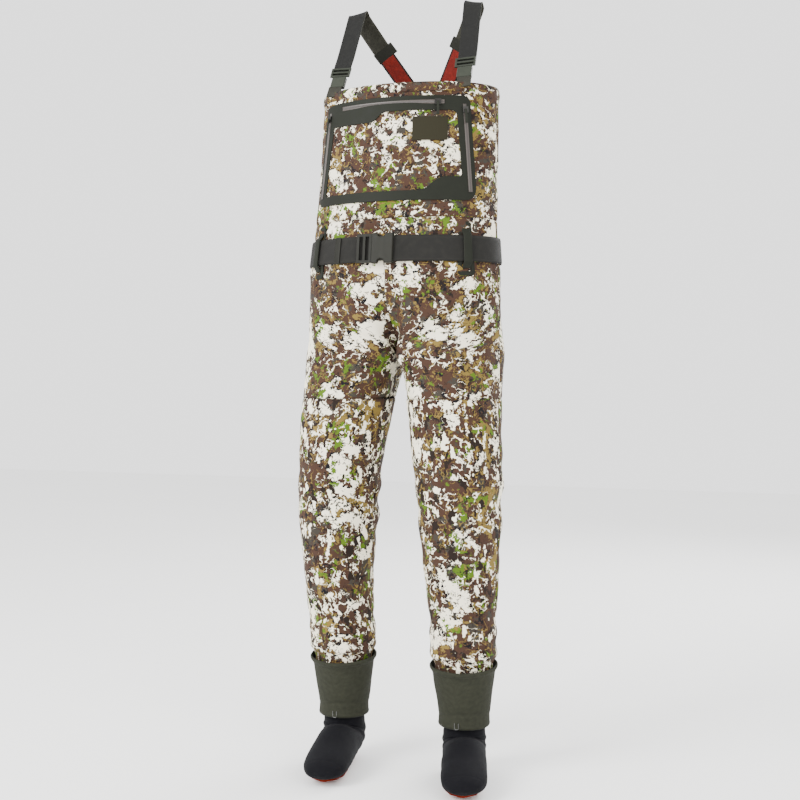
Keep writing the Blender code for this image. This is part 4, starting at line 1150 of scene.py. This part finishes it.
def welded(name, outlines, place_at, wall, edge, material, step=7 * MM):
    """A sheet cut to these outlines, with rounded edges, laid on a surface. The first outline is its
    edge and the others are windows; place_at takes across, up and out."""
    curve = bpy.data.curves.new(name, "CURVE")
    curve.dimensions = "2D"
    curve.fill_mode = "BOTH"
    curve.extrude = wall / 2 - edge
    curve.bevel_depth = edge
    curve.bevel_resolution = 2
    curve.offset = -edge
    for outline in outlines:
        spline = curve.splines.new("POLY")
        spline.points.add(len(outline) - 1)
        for point, place in zip(spline.points, outline):
            point.co = (place[0], place[1], 0.0, 1.0)
        spline.use_cyclic_u = True
    flat = bpy.data.objects.new(name + "_flat", curve)
    bpy.context.scene.collection.objects.link(flat)
    bpy.context.view_layer.update()
    graph = bpy.context.evaluated_depsgraph_get()
    mesh = bpy.data.meshes.new_from_object(flat.evaluated_get(graph))
    bpy.data.objects.remove(flat)
    shape = bmesh.new()
    shape.from_mesh(mesh)
    bmesh.ops.remove_doubles(shape, verts=shape.verts, dist=1e-6)
    for axis in (0, 1):
        spots = [vert.co[axis] for vert in shape.verts]
        normal = Vector((1, 0, 0)) if axis == 0 else Vector((0, 1, 0))
        for spot in steps(min(spots), max(spots), step * (1 + axis))[1:-1]:
            geometry = shape.verts[:] + shape.edges[:] + shape.faces[:]
            bmesh.ops.bisect_plane(shape, geom=geometry, plane_co=normal * spot, plane_no=normal)
    layer = shape.loops.layers.uv.new("cut")
    for face in shape.faces:
        face.smooth = True
        for loop in face.loops:
            loop[layer].uv = loop.vert.co.xy
    for vert in shape.verts:
        vert.co = place_at(vert.co.x, vert.co.y, vert.co.z + wall / 2)
    bmesh.ops.recalc_face_normals(shape, faces=shape.faces)
    shape.to_mesh(mesh)
    shape.free()
    mesh.name = name
    mesh.materials.clear()
    mesh.materials.append(look(material))
    mesh.set_sharp_from_angle(angle=math.radians(50))
    piece = bpy.data.objects.new(name, mesh)
    bpy.context.scene.collection.objects.link(piece)
    return piece


def on_front(lift):
    """A surface this far outside the torso's cloth, for welded()."""
    def place_at(across, z, out):
        return torso_place(math.degrees(across / ARC), z, lift + out)
    return place_at


POCKET_TOP_TURN = 53.0
POCKET_END_TURN = 61.0


def pocket_side(z, inset=0.0):
    """Half the pocket's width at this height, measured along the cloth."""
    share = (POCKET_TOP_Z - z) / (POCKET_TOP_Z - POCKET_END_Z)
    return ARC * math.radians(POCKET_TOP_TURN + (POCKET_END_TURN - POCKET_TOP_TURN) * share) - inset


def window_corners():
    """The window in the pocket's frame: its top steps down on the wearer's right, and the frame is
    wider at its lower left corner. Each corner is across, up and its own radius."""
    top, end = POCKET_TOP_Z, POCKET_END_Z
    rail = 0.031
    high_edge, low_edge, foot, shoulder = top - 0.029, top - 0.048, end + 0.019, end + 0.046
    return [
        (-pocket_side(low_edge, rail * 1.05), low_edge, 0.006),
        (-pocket_side(foot, rail * 0.95), foot, 0.010),
        (0.068, foot, 0.020),
        (0.092, shoulder, 0.020),
        (pocket_side(shoulder, rail), shoulder, 0.008),
        (pocket_side(high_edge, rail), high_edge, 0.014),
        (-0.012, high_edge, 0.008),
        (-0.030, low_edge, 0.010),
    ]


def make_pocket():
    """The frame of welded film, the printed panel in its window, and a plain woven patch."""
    top, end = POCKET_TOP_Z, POCKET_END_Z
    edge = [
        (-pocket_side(top), top - 0.004, 0.014),
        (-pocket_side(end), end, 0.024),
        (pocket_side(end), end, 0.030),
        (pocket_side(top), top, 0.016),
        (-pocket_side(top) * 0.86, top, 0.014),
    ]
    frame_piece = welded("pocket_trim", [rounded(edge, 0.015), rounded(window_corners(), 0.01)],
                         on_front(1.3 * MM), 2.2 * MM, 0.5 * MM, "polyurethane_trim")
    follow(frame_piece, "torso", "welded_trim", "pocket_frame")
    turns = steps(-50.0, 50.0, 1.5)
    rows = steps(top - 0.022, end + 0.014, 4 * MM)
    heights = []
    for z in rows:
        line = []
        for turn in turns:
            place = torso_place(turn, z)
            line.append(1.0 * MM * wander(place, 0.05, 21.0) + 0.5 * MM * wander(place, 0.018, 22.0))
        heights.append(line)
    flat = grid_of(lambda turn, z: torso_place(turn, z, 1.5 * MM), turns, rows)
    grid = pushed(flat, np.clip(heights, -1.0 * MM, 0.7 * MM))
    window = shell("pocket_panel", grid, 0.8 * MM, ("printed_laminate",), shift=(11.3, 2.6))
    follow(window, "torso", "camouflage_laminate", "pocket_window")
    lowest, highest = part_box("label_patch")
    left, right = (ARC * math.radians(torso_turn(x, highest.z)) for x in (lowest.x, highest.x))
    corner_list = [(left, highest.z), (left, lowest.z), (right, lowest.z), (right, highest.z)]
    patch = welded("woven_patch", [rounded(corner_list, 1.5 * MM)], on_front(2.6 * MM), 1.4 * MM, 0.4 * MM,
                   "woven_label")
    follow(patch, "torso", "label_weave", "label_patch")


def ends_of(node):
    """The middle of a straight CAD bar's upper end and of its lower end."""
    places = sorted((v.co.copy() for v in frame["nodes"][node].data.vertices), key=lambda place: -place.z)
    half = len(places) // 2
    return sum(places[:half], Vector()) / half, sum(places[half:], Vector()) / (len(places) - half)


def tape(name, centres, sideways, outward, width, wall, material):
    """A flat strip along these places, with its edges turned down."""
    rows = []
    for centre, side, out in zip(centres, sideways, outward):
        line = []
        for share in (-1.0, -0.94, -0.75, -0.4, 0.0, 0.4, 0.75, 0.94, 1.0):
            drop = wall * 0.55 * (abs(share) > 0.99) + wall * 0.15 * (0.9 < abs(share) < 0.99)
            line.append(tuple(centre + side * (share * width / 2) - out * drop))
        rows.append(line)
    grid = np.array(rows)
    if float((normals_of(grid, False) * np.array([[tuple(out)] for out in outward])).sum()) < 0:
        grid = grid[:, ::-1]
    return shell(name, grid, wall, (material,))


def make_zips():
    """Three laminated zips along the pocket's rails, with their sliders and pulls."""
    axis = joint_place("top_zip")
    lowest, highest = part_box("top_zip_coil")
    radius = axis.y - lowest.y
    z = (lowest.z + highest.z) / 2
    reach = math.asin(highest.x / radius)
    angles = steps(-reach, reach, 0.012)
    out = [Vector((math.sin(angle), -math.cos(angle), 0.0)) for angle in angles]
    centres = [Vector((axis.x, axis.y, z)) + away * radius for away in out]
    up = [Vector((0.0, 0.0, 1.0))] * len(angles)
    piece = tape("top_zip_tape", centres, up, out, highest.z - lowest.z, 1.2 * MM, "taped_zip")
    follow(piece, "torso", "zip_coil", "top_zip_coil")
    for side in SIDES:
        node = f"{side}_zip_coil"
        top, foot = ends_of(node)
        count = 40
        centres = [top.lerp(foot, n / count) for n in range(count + 1)]
        turn = torso_turn(centres[count // 2].x, centres[count // 2].z)
        across = (torso_place(turn + 1, top.z) - torso_place(turn - 1, top.z)).normalized()
        along = (top - foot).normalized()
        across = (across - along * across.dot(along)).normalized()
        away = across.cross(along)
        away = away if away.y < 0 else -away
        raised = [centre + away * 0.5 * MM for centre in centres]
        piece = tape(f"{side}_zip_tape", raised, [across] * (count + 1), [away] * (count + 1),
                     8 * MM, 1.2 * MM, "taped_zip")
        follow(piece, "torso", "zip_coil", node)
    for name in ("top", "left", "right"):
        finish_node(f"{name}_zip_slider", "zinc_slider")
        finish_node(f"{name}_zip_pull", "polyurethane_trim")


def finish_node(node, material):
    """Gives a CAD node its finish."""
    slots = frame["nodes"][node].material_slots
    if not slots:
        frame["nodes"][node].data.materials.append(look(material))
    for slot in slots:
        slot.material = look(material)


# ---- the wading belt ----


def make_belt():
    """50 mm nylon webbing round the waist, its buckle, and the keeper that holds its free end."""
    first = torso_turn(high("belt_buckle_socket").x, BELT_Z)
    turns = steps(first - 6.0, 360.0 - first, 1.6)
    rows = []
    for n in range(13):
        share = n / 6 - 1
        line = []
        for turn in turns:
            ripple = 0.5 * MM * wander(on_circle(turn, 1.0), 0.3, 2.0)
            lift = 5.8 * MM - 9 * MM * max(0.0, abs(share) - 0.9) + ripple
            line.append(tuple(torso_place(turn, BELT_Z - share * BELT_HALF, lift)))
        rows.append(line)
    columns_as_rows = np.array(rows).transpose(1, 0, 2)
    piece = strap_shell("belt_strap", columns_as_rows, 2.4 * MM, "nylon_belt")
    follow(piece, "torso", "belt_webbing", "belt_webbing")
    lowest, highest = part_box("belt_keeper")
    left, right = (ARC * math.radians(torso_turn(x, BELT_Z, 0.007)) for x in (lowest.x, highest.x))
    corner_list = [(left, highest.z + 0.001), (left, lowest.z - 0.001), (right, lowest.z - 0.001),
                   (right, highest.z + 0.001)]
    keeper = welded("belt_keeper_loop", [rounded(corner_list, 2 * MM)], on_front(6.2 * MM), 1.8 * MM, 0.6 * MM,
                    "acetal_belt_buckle", 4 * MM)
    follow(keeper, "torso", "belt_buckle_plastic", "belt_keeper")
    for node in ("belt_buckle_socket", "belt_buckle_insert", "belt_release_upper", "belt_release_lower"):
        finish_node(node, "acetal_belt_buckle")


def strap_shell(name, grid, wall, material):
    """A strap whose rows run along it. Its UV map has 0 along its middle, for the webbing's edges."""
    across = normals_of(grid, False)
    middle = grid.reshape(-1, 3).mean(axis=0)
    outward = ((grid - middle) * across).sum()
    grid = grid if outward > 0 else grid[:, ::-1]
    return shell(name, grid, wall, (material,))


def make_belt_loop(side):
    """A welded patch with two windows, and an arched loop that holds the belt."""
    sign = SIDES[side]
    lowest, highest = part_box(f"belt_loop_patch_{side}")
    edge_x = sorted((abs(lowest.x), abs(highest.x)))
    inner = torso_turn(edge_x[0], BELT_Z)
    outer = inner + 13.0
    top, foot = highest.z, lowest.z

    def place_at(across, z, out):
        return torso_place(sign * math.degrees(across / ARC), z, 0.9 * MM + out)

    left, right = ARC * math.radians(inner), ARC * math.radians(outer)
    lean = 0.006
    edge = [(left + lean, top, 0.008), (left, foot, 0.010),
            (right + 0.001, foot, 0.010), (right - lean, top, 0.008)]
    rail = 0.008
    windows = []
    for upper, lower in ((top - rail, BELT_Z + BELT_HALF), (BELT_Z - BELT_HALF, foot + rail)):
        corner_list = [(left + rail + 0.003, upper), (left + rail, lower),
                       (right - rail, lower), (right - rail - 0.002, upper)]
        windows.append(rounded(corner_list, 0.004))
    patch = welded(f"belt_loop_base_{side}", [rounded(edge, 0.008), *windows], place_at, 2.0 * MM, 0.5 * MM,
                   "polyurethane_trim")
    follow(patch, "torso", "welded_trim", f"belt_loop_patch_{side}")
    lowest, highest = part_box(f"belt_loop_{side}")
    middle = sign * (inner + outer) / 2
    half = math.degrees(0.0062 / 0.118)
    rows = []
    for z in steps(highest.z, lowest.z, 2.5 * MM):
        off = abs(z - BELT_Z) - BELT_HALF
        lift = 4.2 * MM + 6.5 * MM * (1 - smooth((off + 0.001) / 0.011))
        line = []
        for n in range(9):
            share = n / 4 - 1
            crown = 0.7 * MM * (1 - share ** 4)
            line.append(tuple(torso_place(middle + share * half, z, lift + crown)))
        rows.append(line)
    loop = strap_shell(f"belt_loop_arch_{side}", np.array(rows), 2.2 * MM, "polyurethane_trim")
    follow(loop, "torso", "welded_trim", f"belt_loop_{side}")


# ---- suspenders ----

STRAP_FRONT_X = 0.136  # where a strap leaves the front hem
STRAP_TOP = Vector((0.125, 0.070, 0.0))
STRAP_BEND = 0.012
STRAP_HALF = 0.019


def strap_line(side):
    """The strap's middle line: its start over the buckle, its bend over the shoulder and its end at
    the back adjuster, with the direction across it at each place."""
    sign = SIDES[side]
    top = Vector((sign * STRAP_TOP.x, STRAP_TOP.y, STRAP_TOP.z))
    front = torso_place(sign * torso_turn(STRAP_FRONT_X, HEM_Z), HEM_Z)
    back = Vector((sign * 0.0275, high("back_yoke").y - 1 * MM, HEM_Z + 0.015))
    apex = top - Vector((0, 0, STRAP_BEND))
    up_front = (apex - Vector((0, STRAP_BEND, 0)) - front).normalized()
    down_back = (back - (apex + Vector((0, STRAP_BEND, 0)))).normalized()
    across = (Vector((1, 0, 0)) - up_front * up_front.x).normalized()
    across_back = down_back.cross(Vector((0, 1, 0))).normalized()
    across_back = across_back if across_back.x > 0 else -across_back
    return front, apex, back, up_front, down_back, across, across_back


def ribbon(name, places, sideways, half, wall, material, crown=0.5 * MM):
    """A strap through these places, a little crowned across."""
    rows = []
    for n, (place, side) in enumerate(zip(places, sideways)):
        ahead = (places[min(n + 1, len(places) - 1)] - places[max(n - 1, 0)]).normalized()
        side = (side - ahead * side.dot(ahead)).normalized()
        out = ahead.cross(side)
        line = []
        for k in range(13):
            share = k / 6 - 1
            edge = max(0.0, abs(share) - 0.9) * 10
            height = wall / 2 - edge * wall * 0.3 + crown * (1 - share ** 2)
            line.append(tuple(place + side * (share * half) + out * height))
        rows.append(line)
    return shell(name, np.array(rows), wall, material)


def smooth_line(places, step):
    """Places a step apart on a smooth line through these."""
    line = []
    for n in range(len(places) - 1):
        a, b, c, d = (places[min(max(n + k, 0), len(places) - 1)] for k in (-1, 0, 1, 2))
        count = max(1, round((c - b).length / step))
        for k in range(count):
            t = k / count
            line.append(b + (c - a) * (0.5 * t) + (a * 2 - b * 5 + c * 4 - d) * (0.5 * t * t)
                        + ((b - c) * 3 + d - a) * (0.5 * t ** 3))
    line.append(places[-1].copy())
    return line


def make_suspender(side):
    """One shoulder strap, its tab on the hem, its buckle and its red elastic back strap."""
    front, apex, back, up_front, down_back, across, across_back = strap_line(side)
    out = across.cross(up_front)
    tab_end = low(f"strap_buckle_socket_{side}").z + 0.004
    rise = (tab_end - front.z) / up_front.z
    places = [front - up_front * 0.012, front, front + up_front * rise]
    line = smooth_line(places, 3 * MM)
    tab = ribbon(f"strap_tab_web_{side}", line, [across] * len(line), 0.0145, 1.8 * MM,
                 ("nylon_strap",))
    follow(tab, "torso", "strap_webbing", f"strap_tab_{side}")
    start_at = high(f"strap_buckle_socket_{side}").z + 0.003
    rise = (start_at - front.z) / up_front.z
    places = [front + up_front * (rise + onward) - out * 4.2 * MM for onward in (0.0, 0.03, 0.06)]
    for n in range(7):
        angle = math.pi * (0.12 + 0.76 * n / 6)
        places.append(apex + Vector((0, -math.cos(angle), math.sin(angle))) * STRAP_BEND)
    adjuster = (apex + Vector((0, STRAP_BEND, 0))).lerp(back, 0.36)
    places.append(adjuster + down_back * 0.006)
    line = smooth_line(places, 4 * MM)
    total = len(line)
    over = sum(1 for place in line if place.y < apex.y) / total
    turned = [smooth((n / total - over + 0.08) / 0.16) for n in range(total)]
    sideways = [across.lerp(across_back, share) for share in turned]
    # The inner face takes the darker copy of the webbing, a painted shade.
    strap = ribbon(f"shoulder_webbing_{side}", line, sideways, STRAP_HALF, 1.8 * MM,
                   ("nylon_strap", "nylon_strap_shaded_back"))
    follow(strap, "torso", "strap_webbing", f"shoulder_strap_{side}")
    first = adjuster + down_back * 0.022
    line = smooth_line([first, first.lerp(back, 0.5), back - down_back * 0.002], 4 * MM)
    elastic = ribbon(f"red_elastic_{side}", line, [across_back] * len(line), 0.018, 1.9 * MM,
                     ("red_elastic",))
    follow(elastic, "torso", "strap_elastic", f"strap_elastic_{side}")
    for node in (f"strap_buckle_socket_{side}", f"strap_buckle_insert_{side}"):
        finish_node(node, "acetal_strap_buckle")
    finish_node(f"strap_adjuster_{side}", "acetal_belt_buckle")


BACK_ARC = 0.18  # the torso's back, metres of cloth for each radian of turn


def make_yoke():
    """The welded patch behind the neck that both elastics meet at."""
    lowest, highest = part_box("back_yoke")
    half_turn = math.degrees(math.asin(highest.x / high("bib_hem").x))

    def place_at(across, z, out):
        return torso_place(180 + math.degrees(across / BACK_ARC), z, 3.0 * MM + out)

    wide = math.radians(half_turn) * BACK_ARC
    half = [(-wide * 0.8, highest.z), (-wide, lowest.z + 0.02), (-wide * 0.55, lowest.z)]
    corner_list = half + [(-x, z) for x, z in reversed(half)]
    yoke = welded("yoke_patch", [rounded(corner_list, 0.012)], place_at, 1.8 * MM, 0.5 * MM,
                  "polyurethane_trim")
    follow(yoke, "torso", "welded_trim", "back_yoke")


# ---- the stage ----


def area_light(name, place, target, width, watts):
    light = bpy.data.lights.new(name, "AREA")
    light.shape = "RECTANGLE"
    light.size = width
    light.size_y = width * 1.3
    light.energy = watts
    lamp = bpy.data.objects.new(name, light)
    lamp.location = place
    lamp.rotation_euler = (Vector(target) - Vector(place)).to_track_quat("-Z", "Y").to_euler()
    bpy.context.scene.collection.objects.link(lamp)


def make_floor():
    mesh = bpy.data.meshes.new("studio_floor")
    reach = 6.0
    z = CAD_BOUNDS[0][2] - 0.002
    corner_list = [(x * reach, y * reach, z) for x, y in ((-1, -1), (1, -1), (1, 1), (-1, 1))]
    mesh.from_pydata(corner_list, [], [(0, 1, 2, 3)])
    mesh.materials.append(look("studio_floor"))
    floor = bpy.data.objects.new("studio_floor", mesh)
    bpy.context.scene.collection.objects.link(floor)


def make_camera():
    azimuth = math.radians(20.0)
    distance, height = 2.5, -0.742
    camera_data = bpy.data.cameras.new("camera")
    camera_data.lens = 56.4
    camera_data.shift_x = -0.005
    camera_data.shift_y = -0.0365
    camera = bpy.data.objects.new("camera", camera_data)
    camera.location = (distance * math.sin(azimuth), -distance * math.cos(azimuth), height)
    camera.rotation_euler = (math.pi / 2, 0.0, azimuth)
    bpy.context.scene.collection.objects.link(camera)
    bpy.context.scene.camera = camera


def make_light():
    scene = bpy.context.scene
    scene.world = bpy.data.worlds.new("studio")
    scene.world.use_nodes = True
    background = scene.world.node_tree.nodes["Background"]
    background.inputs["Color"].default_value = (1.0, 1.0, 1.0, 1.0)
    background.inputs["Strength"].default_value = 2.1
    area_light("key", (-1.9, -2.6, 0.9), (0.0, 0.0, -0.7), 1.6, 190.0)
    area_light("fill", (2.6, -2.0, 0.2), (0.0, 0.0, -0.8), 1.8, 50.0)
    area_light("back", (0.8, 2.6, 0.8), (0.0, 0.0, -0.7), 1.6, 80.0)


# ---- operators, panel and registration ----


class WADERS_OT_stage(bpy.types.Operator):
    """Add the floor, the lights and the camera"""
    bl_idname = "waders.stage"
    bl_label = "Stage"

    def execute(self, context):
        make_camera()
        make_light()
        make_floor()
        return {"FINISHED"}


class WADERS_OT_bib(bpy.types.Operator):
    """Build the bib's two panels and its folded hem"""
    bl_idname = "waders.bib"
    bl_label = "Bib"

    def execute(self, context):
        make_bib()
        return {"FINISHED"}


class WADERS_OT_legs(bpy.types.Operator):
    """Build the trousers and the lower legs, with their knee panels"""
    bl_idname = "waders.legs"
    bl_label = "Trousers and legs"

    def execute(self, context):
        for side in SIDES:
            make_trousers(side)
            make_lower_leg(side)
        return {"FINISHED"}


class WADERS_OT_feet(bpy.types.Operator):
    """Build the gravel guards, the neoprene socks and their soles"""
    bl_idname = "waders.feet"
    bl_label = "Guards and feet"

    def execute(self, context):
        for side in SIDES:
            make_guard(side)
            make_sock(side)
            make_sole(side)
            finish_node(f"boot_hook_{side}", "stainless_wire")
        return {"FINISHED"}


class WADERS_OT_pocket(bpy.types.Operator):
    """Build the chest pocket with its zips"""
    bl_idname = "waders.pocket"
    bl_label = "Chest pocket"

    def execute(self, context):
        make_pocket()
        make_zips()
        return {"FINISHED"}


class WADERS_OT_belt(bpy.types.Operator):
    """Build the wading belt and the loops that hold it"""
    bl_idname = "waders.belt"
    bl_label = "Wading belt"

    def execute(self, context):
        make_belt()
        for side in SIDES:
            make_belt_loop(side)
        return {"FINISHED"}


class WADERS_OT_suspenders(bpy.types.Operator):
    """Build the suspenders and the yoke behind the neck"""
    bl_idname = "waders.suspenders"
    bl_label = "Suspenders"

    def execute(self, context):
        for side in SIDES:
            make_suspender(side)
        make_yoke()
        return {"FINISHED"}


BUILD_STEPS = (
    WADERS_OT_stage,
    WADERS_OT_bib,
    WADERS_OT_legs,
    WADERS_OT_feet,
    WADERS_OT_pocket,
    WADERS_OT_belt,
    WADERS_OT_suspenders,
)


class WADERS_PT_panel(bpy.types.Panel):
    """The waders' sizes, colours and build steps"""
    bl_idname = "WADERS_PT_panel"
    bl_label = "Chest waders"
    bl_space_type = "VIEW_3D"
    bl_region_type = "UI"
    bl_category = "Waders"

    def draw(self, context):
        column = self.layout.column()
        for group in (context.scene.wader_sizes, context.scene.wader_colours):
            for name in group.__annotations__:
                column.prop(group, name)
        for step in BUILD_STEPS:
            column.operator(step.bl_idname)


CLASSES = (WaderSizes, WaderColours, *BUILD_STEPS, WADERS_PT_panel)


def register():
    for each in CLASSES:
        bpy.utils.register_class(each)
    bpy.types.Scene.wader_sizes = PointerProperty(type=WaderSizes)
    bpy.types.Scene.wader_colours = PointerProperty(type=WaderColours)


def unregister():
    del bpy.types.Scene.wader_sizes
    del bpy.types.Scene.wader_colours
    for each in reversed(CLASSES):
        bpy.utils.unregister_class(each)


def main():
    register()
    bpy.ops.waders.stage()
    bpy.ops.waders.bib()
    bpy.ops.waders.legs()
    bpy.ops.waders.feet()
    bpy.ops.waders.pocket()
    bpy.ops.waders.belt()
    bpy.ops.waders.suspenders()
    bpy.context.view_layer.update()


if __name__ == "__main__":
    main()
